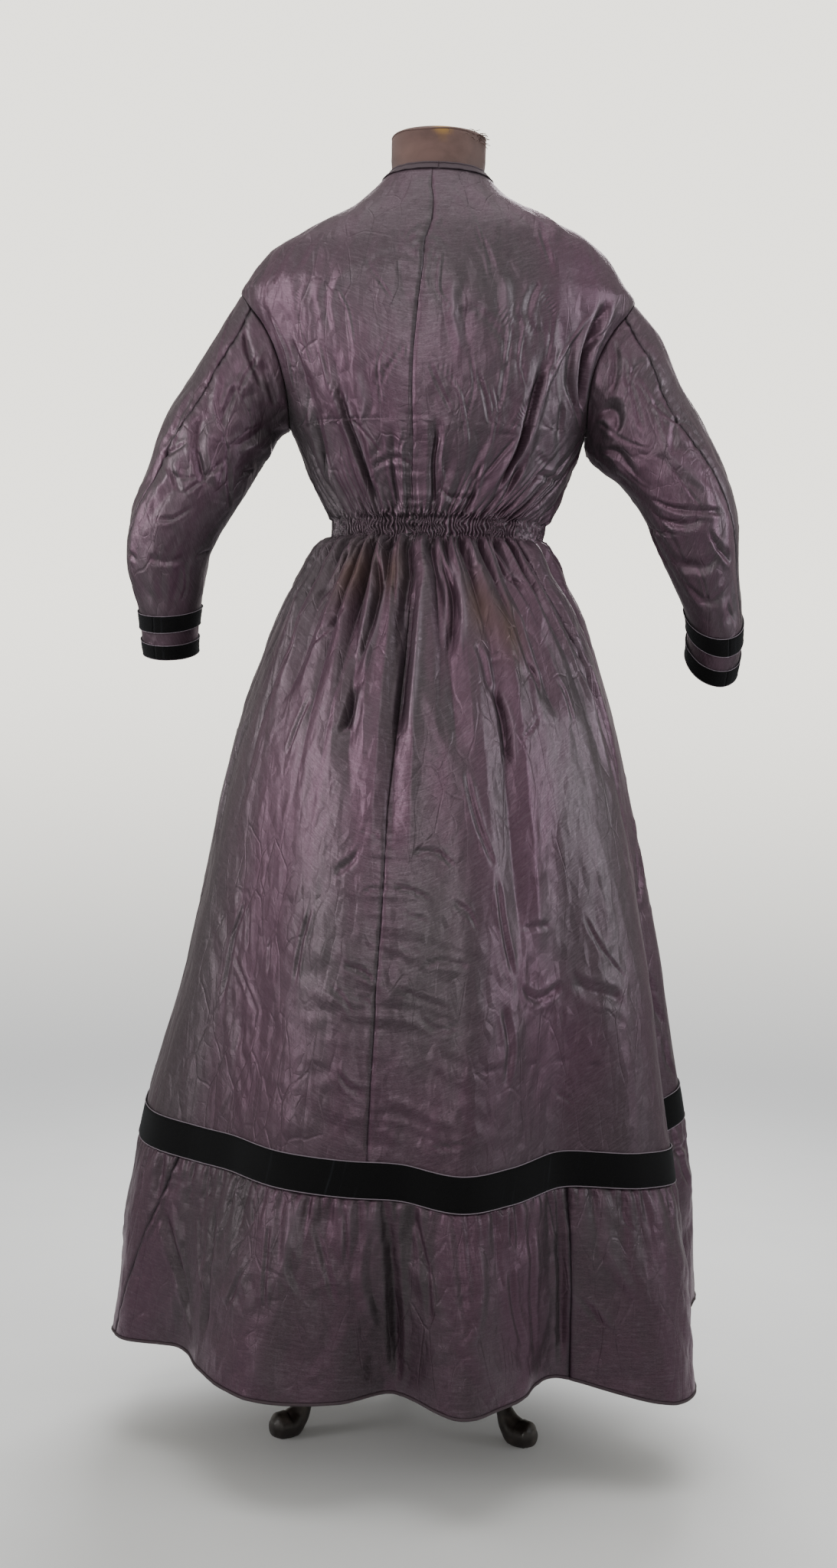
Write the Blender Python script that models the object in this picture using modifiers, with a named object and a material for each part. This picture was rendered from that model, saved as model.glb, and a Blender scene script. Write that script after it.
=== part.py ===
"""A Victorian wrapper dress of shot silk, on a limbless dress form with a tripod stand.

Metres, +Z up. The back of the dress faces -Y, its front +Y, and the feet stand on z = 0.
Angles run round the dress in degrees: 0 is mid back, 90 the +X side, 180 mid front.
A level is the height of a ring of cloth before the neckline drops and the hem dips.
"""
import math

import bmesh
import bpy
import numpy as np
from mathutils import Vector

# Cloth and clearances
CLOTH = 0.0014
VELVET = 0.0012
GAP = 0.0003
SHARP_ANGLE = 35.0
STEP = 0.001

# Levels of the dress, top to bottom
NECK_LEVEL = 1.456
BINDING_LEVEL = 1.449
SHIRRING_TOP = 1.055
SHIRRING_END = 1.037
DRAPE_TOP = 1.000
BAND_TOP = 0.369
BAND_LEVEL = 0.350
SKIRT_END = 0.331
HEM_LEVEL = 0.120

# How far the neckline drops at mid front, and where the drop begins
NECK_DROP = 0.050
DROP_LEVEL = 1.250

# Armhole, an oval on the side of the bodice
ARMHOLE_LEVEL = 1.2375
ARMHOLE_HALF = 0.0775
ARMHOLE_BACK = 26.0
ARMHOLE_FRONT = 30.0
ARMHOLE_EASE = 0.006
SLEEVE_COLUMNS = 16
HIND_SEAM = 22.5
RIBBON_JOIN = 67.5

# Columns of the fronts crowd towards the sides, where the deep folds are
FRONT_CROWDING = 1.35

# Gathers
SHIRRING_RISE = 0.0011
FLOUNCE_DROP = 0.0008
FLOUNCE_GATHER = 3.0

# Buttons of the front closing
BUTTON_COUNT = 10
BUTTON_TOP = 1.435
BUTTON_END = 1.000
BUTTON_RADIUS = 0.0065
BUTTON_TAPER = 0.7
BUTTON_DEPTH = 0.0035
BUTTON_SIDES = 14

# Dress form and stand
FORM_COLUMNS = 32
NECK_RADIUS = 0.0545
NECK_TOP = 1.500
NECK_EDGE = 0.004
NECK_RISE = 0.015
TORSO_END = 0.800
POLE_RADIUS = 0.0125
HUB_TOP = 0.215
LEG_COUNT = 3
LEG_COLUMNS = 10
LEG_TURN = -92.0
TURNED_STEPS = 20


def table(columns, rows):
    """Turn rows with named columns into one array for each name, lowest first value first."""
    rows = np.array(sorted(rows))
    return {name: rows[:, i] for i, name in enumerate(columns.split())}


# Smooth oval that each ring of the dress starts from
PROFILE = table("level half_width back_depth front_depth centre_x", (
    (1.456, 0.0555, 0.0580, 0.0580, 0.000),
    (1.449, 0.0640, 0.0620, 0.0630, 0.000),
    (1.430, 0.0830, 0.0740, 0.0740, 0.001),
    (1.412, 0.1130, 0.0840, 0.0830, 0.006),
    (1.386, 0.1650, 0.0970, 0.0940, 0.009),
    (1.360, 0.2000, 0.1060, 0.1060, 0.004),
    (1.333, 0.2180, 0.1110, 0.1150, 0.003),
    (1.315, 0.2280, 0.1130, 0.1210, 0.004),
    (1.300, 0.2270, 0.1145, 0.1260, 0.004),
    (1.275, 0.2170, 0.1155, 0.1320, 0.004),
    (1.2375, 0.2020, 0.1160, 0.1360, 0.004),
    (1.160, 0.1715, 0.1100, 0.1310, 0.008),
    (1.130, 0.1600, 0.1040, 0.1200, 0.010),
    (1.100, 0.1480, 0.0980, 0.1080, 0.010),
    (1.075, 0.1350, 0.0920, 0.0980, 0.011),
    (1.055, 0.1230, 0.0880, 0.0930, 0.011),
    (1.037, 0.1220, 0.0880, 0.0930, 0.010),
    (1.020, 0.1370, 0.1040, 0.1000, 0.005),
    (0.990, 0.1540, 0.1270, 0.1110, 0.004),
    (0.950, 0.1760, 0.1520, 0.1280, 0.005),
    (0.900, 0.1950, 0.1760, 0.1460, 0.006),
    (0.830, 0.2180, 0.2020, 0.1660, 0.006),
    (0.740, 0.2400, 0.2260, 0.1880, 0.006),
    (0.640, 0.2600, 0.2460, 0.2080, 0.008),
    (0.540, 0.2800, 0.2630, 0.2270, 0.008),
    (0.440, 0.3010, 0.2780, 0.2460, 0.003),
    (0.369, 0.3170, 0.2860, 0.2600, 0.000),
    (0.331, 0.3240, 0.2900, 0.2650, 0.000),
    (0.240, 0.3370, 0.3080, 0.2710, 0.000),
    (0.120, 0.3420, 0.3220, 0.2760, 0.000),
))

# Deep folds of the hem: radius as a multiple of the oval, and height, at the ribbon and the hem
PLAN = table("angle band_swell band_height hem_swell hem_height", (
    (-158, 0.98, 0.382, 1.01, 0.140),
    (-135, 1.02, 0.375, 0.97, 0.134),
    (-112, 1.01, 0.363, 1.03, 0.124),
    (-90, 0.99, 0.357, 0.99, 0.117),
    (-72, 0.97, 0.354, 1.01, 0.118),
    (-56, 0.89, 0.351, 0.88, 0.126),
    (-45, 0.88, 0.351, 0.94, 0.123),
    (-27, 0.95, 0.348, 1.03, 0.117),
    (-13, 0.97, 0.347, 0.97, 0.119),
    (-2, 0.95, 0.345, 0.85, 0.122),
    (9, 1.03, 0.338, 1.06, 0.117),
    (19, 0.97, 0.341, 0.97, 0.120),
    (34, 0.88, 0.349, 0.83, 0.126),
    (52, 1.00, 0.342, 1.09, 0.098),
    (64, 1.01, 0.339, 1.04, 0.099),
    (81, 0.81, 0.350, 0.80, 0.116),
    (97, 1.00, 0.376, 1.00, 0.130),
    (110, 1.04, 0.384, 1.07, 0.136),
    (130, 1.00, 0.387, 0.96, 0.140),
    (150, 0.98, 0.386, 1.03, 0.142),
    (168, 1.01, 0.385, 0.98, 0.142),
))

# Angles of the lengthwise seams down the dress
SEAMS = table("level left_side centre_back right_side", (
    (1.456, -90, -6.0, 90),
    (1.333, -90, -4.5, 90),
    (1.160, -90, -10.0, 90),
    (1.100, -82, -12.0, 66),
    (1.055, -74, -13.6, 46),
    (1.037, -74, -12.5, 46),
    (0.990, -75, -8.0, 52),
    (0.900, -77, -8.7, 62),
    (0.740, -80, -10.4, 70),
    (0.540, -83, -11.0, 77),
    (0.331, -85, -8.6, 81),
))

# Creases of the back: soft troughs that rise from the shirring and fall from it
CREASES = table("top end top_angle end_angle top_width end_width depth", (
    (1.250, 1.060, -36, -33, 5.0, 4.0, 0.0045),
    (1.180, 1.060, -52, -62, 4.0, 4.0, 0.0035),
    (1.160, 1.060, -18, -20, 3.5, 3.5, 0.0040),
    (1.170, 1.060, -1, -3, 3.5, 3.5, 0.0040),
    (1.140, 1.060, 16, 13, 4.0, 3.5, 0.0035),
    (1.260, 1.065, 37, 33, 5.0, 4.0, 0.0050),
    (1.035, 0.780, -30, -22, 3.5, 5.0, 0.0130),
    (1.035, 0.700, -10, -9, 3.5, 5.0, 0.0140),
    (1.035, 0.820, 3, 8, 3.5, 5.0, 0.0120),
    (1.035, 0.850, 29, 42, 3.5, 5.0, 0.0100),
    (1.035, 0.880, -39, -50, 3.5, 5.0, 0.0100),
    (0.980, 0.560, 20, 24, 4.0, 6.0, 0.0080),
))

# Rings of cloth: columns in half the back and half the front, and the height of the gathers
RINGS = table("level back_columns front_columns gather", (
    (1.456, 8, 6, 0), (1.449, 8, 6, 0), (1.430, 8, 6, 0), (1.412, 8, 6, 0),
    (1.386, 8, 6, 0), (1.360, 8, 6, 0), (1.333, 8, 6, 0),
    (1.130, 16, 6, 0.0010), (1.100, 24, 8, 0.0020), (1.075, 24, 8, 0.0024),
    (SHIRRING_TOP, 48, 8, SHIRRING_RISE), (1.046, 48, 8, SHIRRING_RISE),
    (SHIRRING_END, 48, 8, SHIRRING_RISE),
    (1.020, 24, 10, 0.0030), (0.990, 24, 12, 0.0038), (0.950, 24, 14, 0.0034),
    (0.900, 24, 14, 0.0020), (0.830, 24, 14, 0.0008), (0.740, 24, 14, 0),
    (0.640, 24, 14, 0), (0.540, 24, 14, 0), (0.440, 24, 14, 0),
    (BAND_TOP, 24, 14, 0), (SKIRT_END, 24, 14, 0),
))

# Widths of the flounce: seam angles at the ribbon and at the hem, from each seam to the next
FLOUNCE = (
    ("flounce_back", (-62, -75), (36, 37)),
    ("flounce_right", (36, 37), (115, 115)),
    ("flounce_front", (115, 115), (195, 195)),
    ("flounce_left", (195, 195), (298, 285)),
)
# Rings of a flounce: share of the way down, gathers for each column, height of the gathers
FLOUNCE_RINGS = ((0.0, 2, 0.0015), (0.13, 2, 0.0042), (0.45, 1, 0.0030), (1.0, 0.6, 0.0))

# Sleeves, a row for each ring from the armhole to the hem, with the columns outer_x, outer_z,
# inner_x, inner_z (seen from behind), middle_y, half_depth and tip (degrees its back hangs down)
SLEEVES = {
    "left": (
        (0.2500, 1.272, 0.1780, 1.149, 0.004, 0.062, 0),
        (0.2800, 1.219, 0.1850, 1.132, 0.000, 0.062, 0),
        (0.3105, 1.165, 0.1975, 1.114, -0.006, 0.060, 2),
        (0.3270, 1.112, 0.2130, 1.083, -0.010, 0.058, 5),
        (0.3460, 1.059, 0.2340, 1.049, -0.010, 0.055, 8),
        (0.3505, 1.005, 0.2545, 1.006, -0.004, 0.051, 12),
        (0.3360, 0.947, 0.2640, 0.952, 0.004, 0.046, 14),
        (0.3340, 0.929, 0.2665, 0.933, 0.007, 0.045, 15),
        (0.3325, 0.915, 0.2675, 0.917, 0.010, 0.044, 15),
        (0.3300, 0.899, 0.2680, 0.900, 0.012, 0.043, 15),
    ),
    "right": (
        (0.2640, 1.275, 0.1780, 1.149, 0.004, 0.062, 0),
        (0.2890, 1.221, 0.1850, 1.134, 0.000, 0.062, 0),
        (0.3200, 1.169, 0.1960, 1.122, -0.006, 0.060, 4),
        (0.3450, 1.117, 0.2230, 1.101, -0.010, 0.058, 8),
        (0.3590, 1.065, 0.2480, 1.068, -0.008, 0.055, 14),
        (0.3620, 1.018, 0.2720, 1.020, 0.000, 0.051, 22),
        (0.3715, 0.954, 0.3040, 0.961, 0.018, 0.047, 36),
        (0.3725, 0.934, 0.3080, 0.943, 0.025, 0.046, 39),
        (0.3715, 0.917, 0.3090, 0.927, 0.030, 0.045, 40),
        (0.3690, 0.899, 0.3090, 0.909, 0.034, 0.044, 41),
    ),
}
# Rings of a sleeve that a velvet ribbon reaches from and to
CUFF_RIBBONS = ((7, 8), (9, 10))

# Dress form below the waist, down to its flat end
HIPS = table("level half_width back_depth front_depth", (
    (1.010, 0.120, 0.086, 0.088),
    (0.970, 0.135, 0.098, 0.094),
    (0.920, 0.149, 0.108, 0.100),
    (0.860, 0.156, 0.112, 0.100),
    (0.815, 0.155, 0.110, 0.096),
    (TORSO_END, 0.148, 0.103, 0.090),
))
# How far the form lies inside the oval of the dress
FORM_INSET = table("level inset", (
    (1.037, 0.0045), (1.100, 0.0100), (1.300, 0.0100), (1.333, 0.0055), (1.360, 0.0033),
    (1.456, 0.0027),
))

# A leg, from the hub to its pad foot: distance from the pole, height and radius of each ring
LEG = (
    (0.0275, 0.132, 0.0130), (0.0480, 0.139, 0.0125), (0.0700, 0.124, 0.0110),
    (0.0920, 0.095, 0.0095), (0.1120, 0.066, 0.0085), (0.1290, 0.043, 0.0085),
    (0.1420, 0.020, 0.0135), (0.1540, 0.011, 0.0170), (0.1660, 0.010, 0.0165),
    (0.1740, 0.010, 0.0085),
)
# Radius and height of each ring of the turned pieces, heights measured down from their tops
COLLAR = ((0.0, 0.0), (0.034, 0.0), (0.036, 0.006), (0.030, 0.016), (0.020, 0.026), (0.0, 0.026))
HUB = ((0.0, 0.0), (0.017, 0.0), (0.021, 0.012), (0.016, 0.024), (0.027, 0.042),
       (0.027, 0.105), (0.020, 0.117), (0.0, 0.125))


def clear_scene():
    """Remove what Blender starts with."""
    for item in list(bpy.data.objects):
        bpy.data.objects.remove(item, do_unlink=True)


def finish(name, color, roughness, metallic=0.0):
    """Make a plain material."""
    material = bpy.data.materials.new(name)
    material.use_nodes = True
    shader = material.node_tree.nodes["Principled BSDF"]
    shader.inputs["Base Color"].default_value = (*color, 1.0)
    shader.inputs["Roughness"].default_value = roughness
    shader.inputs["Metallic"].default_value = metallic
    material.diffuse_color = (*color, 1.0)
    return material


def ease(share):
    """Smooth step from 0 to 1."""
    share = np.clip(share, 0.0, 1.0)
    return share * share * (3.0 - 2.0 * share)


def oval(name, level):
    """Value of the smooth profile at a level."""
    return np.interp(level, PROFILE["level"], PROFILE[name])


def plan(name, angle):
    """Periodic cubic curve through the rows of the hem's plan."""
    places = np.concatenate([PLAN["angle"] + turn for turn in (-720, -360, 0, 360, 720)])
    values = np.tile(PLAN[name], 5)
    slopes = np.gradient(values, places)
    i = np.clip(np.searchsorted(places, angle) - 1, 0, len(places) - 2)
    span = places[i + 1] - places[i]
    t = (angle - places[i]) / span
    start = values[i] * (1 + 2 * t) * (1 - t) ** 2 + slopes[i] * span * t * (1 - t) ** 2
    end = values[i + 1] * t * t * (3 - 2 * t) - slopes[i + 1] * span * t * t * (1 - t)
    return start + end


def base(angle, level):
    """Point of the dress without its creases: an oval, swollen by the hem's folds lower down."""
    angle, level = np.broadcast_arrays(np.asarray(angle, float), np.asarray(level, float))
    turn = np.radians(angle)
    depth = np.where(np.cos(turn) > 0, oval("back_depth", level), oval("front_depth", level))
    drape = ease((DRAPE_TOP - level) / (DRAPE_TOP - BAND_LEVEL))
    lower = np.clip((SKIRT_END - level) / (SKIRT_END - HEM_LEVEL), 0.0, 1.0)
    swell = plan("band_swell", angle) * (1 - lower) + plan("hem_swell", angle) * lower
    swell = 1 + drape * (swell - 1)
    dip = (plan("band_height", angle) - BAND_LEVEL) * (1 - lower)
    dip = dip + (plan("hem_height", angle) - HEM_LEVEL) * lower
    drop = NECK_DROP * ((1 - np.cos(turn)) / 2) ** 3
    drop = drop * ease((level - DROP_LEVEL) / (NECK_LEVEL - DROP_LEVEL))
    x = oval("centre_x", level) + oval("half_width", level) * np.sin(turn) * swell
    y = -depth * np.cos(turn) * swell
    return np.stack([x, y, level + drape * dip - drop], axis=-1)


def outward(angle, level):
    """Unit normal of the base surface."""
    across = base(angle + 0.5, level) - base(angle - 0.5, level)
    along = base(angle, level + STEP) - base(angle, level - STEP)
    normal = np.cross(across, along)
    return normal / np.linalg.norm(normal, axis=-1, keepdims=True)


def creases(angle, level):
    """Depth of the soft troughs at a point, each one strongest halfway along."""
    total = np.zeros(np.broadcast(angle, level).shape)
    for row in zip(*CREASES.values()):
        top, end, top_angle, end_angle, top_width, end_width, depth = row
        share = (top - level) / (top - end)
        centre = top_angle + (end_angle - top_angle) * share
        width = top_width + (end_width - top_width) * share
        strength = ease(share * 4) * ease((1 - share) * 4)
        total = total - depth * strength * np.exp(-((angle - centre) / width) ** 2)
    return total


def cloth(angle, level, lift=0.0):
    """Point of the dress, lifted off the base surface by its creases and by a given height."""
    height = creases(angle, level) + lift
    return base(angle, level) + outward(angle, level) * height[..., None]


def zigzag(count, height):
    """Alternate ridges and troughs along a row, level at both of its ends."""
    wave = np.where(np.arange(count) % 2 == 0, -height, height)
    wave[0] = wave[-1] = 0.0
    return wave


def seam_gap(angle, level):
    """Half a seam's clearance, in degrees round the dress."""
    point = base(angle, level)
    return math.degrees(GAP / 2 / math.hypot(point[0], point[1]))


def armhole_reach(level, reach):
    """Degrees from the side to the edge of the armhole at a level."""
    share = np.clip((level - ARMHOLE_LEVEL) / ARMHOLE_HALF, -1.0, 1.0)
    return reach * math.sqrt(1 - share * share)


def zip_rows(first, second):
    """Triangles between two rows of vertex numbers that may differ in length."""
    triangles = []
    i = j = 0
    while i < len(first) - 1 or j < len(second) - 1:
        next_i = (i + 1) / (len(first) - 1)
        next_j = (j + 1) / (len(second) - 1)
        if j == len(second) - 1 or (i < len(first) - 1 and next_i <= next_j + 1e-9):
            triangles.append((first[i], second[j], first[i + 1]))
            i += 1
        else:
            triangles.append((first[i], second[j], second[j + 1]))
            j += 1
    return triangles


def make_object(name, points, faces, material):
    """Make a mesh object whose faces point outwards."""
    mesh = bpy.data.meshes.new(name)
    mesh.from_pydata([tuple(point) for point in points], [], faces)
    work = bmesh.new()
    work.from_mesh(mesh)
    bmesh.ops.recalc_face_normals(work, faces=work.faces)
    work.to_mesh(mesh)
    work.free()
    mesh.shade_smooth()
    mesh.set_sharp_from_angle(angle=math.radians(SHARP_ANGLE))
    mesh.materials.append(material)
    thing = bpy.data.objects.new(name, mesh)
    PARTS.objects.link(thing)
    return thing


def make_wall(name, outer, inner, material):
    """Close a strip of cloth: outer rows, the same rows of its inner side, and the four edges."""
    starts = np.cumsum([0] + [len(row) for row in outer])
    offset = starts[-1]
    rows = [list(range(a, b)) for a, b in zip(starts[:-1], starts[1:])]
    faces = []
    for first, second in zip(rows[:-1], rows[1:]):
        for a, b, c in zip_rows(first, second):
            faces.append((a, b, c))
            faces.append((a + offset, c + offset, b + offset))
        for end in (0, -1):
            a, b = first[end], second[end]
            faces.append((a, b, b + offset))
            faces.append((a, b + offset, a + offset))
    for row in (rows[0], rows[-1]):
        for a, b in zip(row[:-1], row[1:]):
            faces.append((a, b, b + offset))
            faces.append((a, b + offset, a + offset))
    return make_object(name, np.concatenate(list(outer) + list(inner)), faces, material)


def make_loft(name, rings, material):
    """Close a solid through rings of the same number of points, with a flat cap at each end."""
    count = len(rings[0])
    faces = [tuple(range(count)), tuple(range((len(rings) - 1) * count, len(rings) * count))]
    for k in range(len(rings) - 1):
        for i in range(count):
            a, b = k * count + i, k * count + (i + 1) % count
            faces.append((a, b, b + count))
            faces.append((a, b + count, a + count))
    return make_object(name, np.concatenate(rings), faces, material)


def panel_rings():
    """Levels of the rings of a full-length panel, with the armhole's own rings among them."""
    rings = [list(row) for row in zip(*RINGS.values())]
    for k in range(SLEEVE_COLUMNS // 2 + 1):
        level = ARMHOLE_LEVEL + ARMHOLE_HALF * math.cos(2 * math.pi * k / SLEEVE_COLUMNS)
        rings.append([level, 8, 6, 0.0])
    return sorted(rings, reverse=True)


def panel_edges(level, piece):
    """Angles of a panel's two edges at a level, in order round the dress."""
    left = np.interp(level, SEAMS["level"], SEAMS["left_side"])
    middle = np.interp(level, SEAMS["level"], SEAMS["centre_back"])
    right = np.interp(level, SEAMS["level"], SEAMS["right_side"])
    back = armhole_reach(level, ARMHOLE_BACK)
    front = armhole_reach(level, ARMHOLE_FRONT)
    edges = {
        "back_left": (left + back, middle),
        "back_right": (middle, right - back),
        "front_right": (right + front, 180.0),
        "front_left": (180.0, 360 + left - front),
    }[piece]
    start, end = edges
    return start + seam_gap(start, level), end - seam_gap(end, level)


def make_panel(piece, material):
    """Cut one full-length panel from neckline to ribbon; return its column angles by level."""
    columns = 1 if piece.startswith("back") else 2
    outer, inner, by_level = [], [], {}
    for ring in panel_rings():
        level, gather = ring[0], ring[3] * (columns == 1)
        start, end = panel_edges(level, piece)
        count = int(ring[columns])
        shares = np.linspace(0, 1, count + 1)
        if piece == "front_right":
            shares = shares ** FRONT_CROWDING
        if piece == "front_left":
            shares = 1 - (1 - shares) ** FRONT_CROWDING
        angles = start + (end - start) * shares
        lift = zigzag(count + 1, gather)
        outer.append(cloth(angles, level, lift))
        inner.append(cloth(angles, level, lift - CLOTH))
        by_level[level] = angles
    make_wall(piece, outer, inner, material)
    return by_level


def make_ribbon(name, panels, levels, material):
    """Lay a ribbon over neighbouring panels, on their own columns, from one level to another."""
    outer, inner = [], []
    for level in levels:
        angles = [panel[level][:-1] for panel in panels[:-1]] + [panels[-1][level]]
        angles = np.concatenate(angles)
        outer.append(cloth(angles, level, GAP + VELVET))
        inner.append(cloth(angles, level, GAP))
    make_wall(name, outer, inner, material)


def make_flounce(name, start, end, material):
    """Make one gathered width of the flounce below the ribbon."""
    gathers = round((end[0] - start[0]) / FLOUNCE_GATHER)
    outer, inner = [], []
    for share, columns, height in FLOUNCE_RINGS:
        top = SKIRT_END - FLOUNCE_DROP
        level = top - share * (top - HEM_LEVEL)
        first = start[0] + (start[1] - start[0]) * share
        last = end[0] + (end[1] - end[0]) * share
        gap = seam_gap(first, level)
        count = int(gathers * columns)
        angles = np.linspace(first + gap, last - gap, count + 1)
        lift = zigzag(count + 1, height)
        outer.append(cloth(angles, level, lift))
        inner.append(cloth(angles, level, lift - CLOTH))
    make_wall(name, outer, inner, material)


def armhole_ring(side, turns):
    """Ring of the sleeve that lies in the armhole, just inside its edge."""
    reach = np.where(np.sin(turns) > 0, ARMHOLE_BACK, ARMHOLE_FRONT) * (1 - ARMHOLE_EASE)
    level = ARMHOLE_LEVEL + ARMHOLE_HALF * (1 - ARMHOLE_EASE) * np.cos(turns)
    return cloth(side * (90 - reach * np.sin(turns)), level, np.zeros(len(turns)))


def sleeve_ring(side, row, turns):
    """Tilted oval ring of a sleeve, from its row in the table."""
    outer_x, outer_z, inner_x, inner_z, middle_y, half_depth, tip = row
    outer = np.array([side * outer_x, middle_y, outer_z])
    inner = np.array([side * inner_x, middle_y, inner_z])
    tip = math.radians(tip)
    back = half_depth * np.array([0.0, -math.cos(tip), -math.sin(tip)])
    across = (outer - inner) / 2
    return (outer + inner) / 2 + np.outer(np.cos(turns), across) + np.outer(np.sin(turns), back)


def sleeve_rows(name, start, end, count):
    """Rows of points down a sleeve between two angles round the arm, with each ring's middle."""
    side = 1 if name == "right" else -1
    rows = []
    for k in range(len(SLEEVES[name]) + 1):
        turns = np.radians(np.linspace(start, end, count + 1))
        whole = np.linspace(0, 2 * math.pi, SLEEVE_COLUMNS, endpoint=False)
        if k == 0:
            rows.append((armhole_ring(side, turns), armhole_ring(side, whole).mean(axis=0)))
        else:
            row = SLEEVES[name][k - 1]
            middle = sleeve_ring(side, row, whole).mean(axis=0)
            rows.append((sleeve_ring(side, row, turns), middle))
    return rows


def swell_row(points, middle, lift):
    """Move a row of sleeve points away from the middle of its ring."""
    spokes = points - middle
    lengths = np.linalg.norm(spokes, axis=-1, keepdims=True)
    return middle + spokes * (1 + lift / lengths)


def make_sleeve(name, materials):
    """Make a two-piece sleeve and its two velvet ribbons."""
    gap = math.degrees(GAP / 2 / SLEEVES[name][0][5])
    half = SLEEVE_COLUMNS // 2
    for piece, start in (("under", HIND_SEAM), ("upper", HIND_SEAM + 180)):
        rows = sleeve_rows(name, start + gap, start + 180 - gap, half)
        outer = [points for points, middle in rows]
        inner = [swell_row(points, middle, -CLOTH) for points, middle in rows]
        make_wall(f"sleeve_{name}_{piece}", outer, inner, materials["silk"])
    for label, (top, end) in zip(("upper", "lower"), CUFF_RIBBONS):
        rows = sleeve_rows(name, RIBBON_JOIN + gap, RIBBON_JOIN + 360 - gap, SLEEVE_COLUMNS)
        rows = rows[top:end + 1]
        outer = [swell_row(points, middle, GAP + VELVET) for points, middle in rows]
        inner = [swell_row(points, middle, GAP) for points, middle in rows]
        make_wall(f"cuff_ribbon_{name}_{label}", outer, inner, materials["velvet"])


def make_buttons(front, material):
    """Sew a row of domed buttons down the middle of the front."""
    levels = sorted(front)
    edge = np.array([cloth(front[level], level)[-1] for level in levels])
    places = np.linspace(BUTTON_TOP, BUTTON_END, BUTTON_COUNT)
    for number, level in enumerate(places, start=1):
        k = int(np.searchsorted(levels, level)) - 1
        share = (level - levels[k]) / (levels[k + 1] - levels[k])
        along = edge[k + 1] - edge[k]
        normal = Vector((0.0, along[2], -along[1])).normalized()
        place = Vector(edge[k] + share * along) + normal * (GAP * 2 + BUTTON_DEPTH / 2)
        bpy.ops.mesh.primitive_cone_add(
            vertices=BUTTON_SIDES, radius1=BUTTON_RADIUS, radius2=BUTTON_RADIUS * BUTTON_TAPER,
            depth=BUTTON_DEPTH, location=place, rotation=normal.to_track_quat("Z", "Y").to_euler())
        adopt(bpy.context.object, f"button_{number}", material)


def adopt(thing, name, material):
    """Name a primitive, give it its material and move it to the collection of parts."""
    thing.name = name
    thing.data.name = name
    thing.data.materials.append(material)
    for owner in list(thing.users_collection):
        owner.objects.unlink(thing)
    PARTS.objects.link(thing)


def form_ring(level):
    """Ring of the dress form: inside the dress down to the waist, then its own hips."""
    angles = np.linspace(0, 360, FORM_COLUMNS, endpoint=False)
    if level >= SHIRRING_END:
        inset = np.interp(level, FORM_INSET["level"], FORM_INSET["inset"])
        return base(angles, level) - outward(angles, level) * inset
    turn = np.radians(angles)
    width, back, front = (np.interp(level, HIPS["level"], HIPS[name])
                          for name in ("half_width", "back_depth", "front_depth"))
    depth = np.where(np.cos(turn) > 0, back, front)
    x = oval("centre_x", max(level, BAND_TOP)) + width * np.sin(turn)
    return np.stack([x, -depth * np.cos(turn), np.full(FORM_COLUMNS, level)], axis=-1)


def make_form(material):
    """Make the torso and neck of the dress form."""
    turn = np.radians(np.linspace(0, 360, FORM_COLUMNS, endpoint=False))
    rings = []
    neck = ((NECK_TOP, NECK_RADIUS - NECK_EDGE), (NECK_TOP - NECK_EDGE, NECK_RADIUS),
            (NECK_LEVEL + NECK_RISE, NECK_RADIUS))
    for height, radius in neck:
        ring = [radius * np.sin(turn), -radius * np.cos(turn), np.full(FORM_COLUMNS, height)]
        rings.append(np.stack(ring, axis=-1))
    upper = [level for level in PROFILE["level"] if level >= SHIRRING_END]
    for level in sorted(upper, reverse=True) + sorted(HIPS["level"], reverse=True):
        rings.append(form_ring(level))
    make_loft("form_torso", rings, material)


def make_turned(name, top, profile, material):
    """Turn a profile of (radius, distance below the top) points round the Z axis."""
    mesh = bpy.data.meshes.new(name)
    points = [(radius, 0.0, top - fall) for radius, fall in profile]
    mesh.from_pydata(points, [(i, i + 1) for i in range(len(points) - 1)], [])
    thing = bpy.data.objects.new(name, mesh)
    mesh.materials.append(material)
    PARTS.objects.link(thing)
    screw = thing.modifiers.new("turn", "SCREW")
    screw.steps = screw.render_steps = TURNED_STEPS
    screw.use_merge_vertices = True
    screw.merge_threshold = 0.0001


def make_stand(material):
    """Make the pole, the turned hub and the three legs with pad feet."""
    collar_top = TORSO_END - GAP
    pole_top = collar_top - COLLAR[-1][1] - GAP
    length = pole_top - HUB_TOP - GAP
    pole = ((0.0, 0.0), (POLE_RADIUS, 0.0), (POLE_RADIUS, length), (0.0, length))
    make_turned("form_collar", collar_top, COLLAR, material)
    make_turned("form_pole", pole_top, pole, material)
    make_turned("form_hub", HUB_TOP, HUB, material)
    turns = np.linspace(0, 2 * math.pi, LEG_COLUMNS, endpoint=False)
    path = np.array([(reach, height) for reach, height, radius in LEG])
    slopes = np.gradient(path, axis=0)
    for number in range(LEG_COUNT):
        heading = math.radians(LEG_TURN + 360 * (number + 0.5) / LEG_COUNT)
        ahead = np.array([math.cos(heading), math.sin(heading), 0.0])
        beside = np.array([-math.sin(heading), math.cos(heading), 0.0])
        rings = []
        for k, (reach, height, radius) in enumerate(LEG):
            along = slopes[k] / np.linalg.norm(slopes[k])
            if k == 0:
                along = np.array([1.0, 0.0])
            over = -along[1] * ahead + np.array([0.0, 0.0, along[0]])
            middle = reach * ahead + np.array([0.0, 0.0, height])
            ring = middle + radius * (np.outer(np.cos(turns), over)
                                      + np.outer(np.sin(turns), beside))
            ring[:, 2] = np.maximum(ring[:, 2], 0.0)
            rings.append(ring)
        make_loft(f"form_leg_{number + 1}", rings, material)


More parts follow.
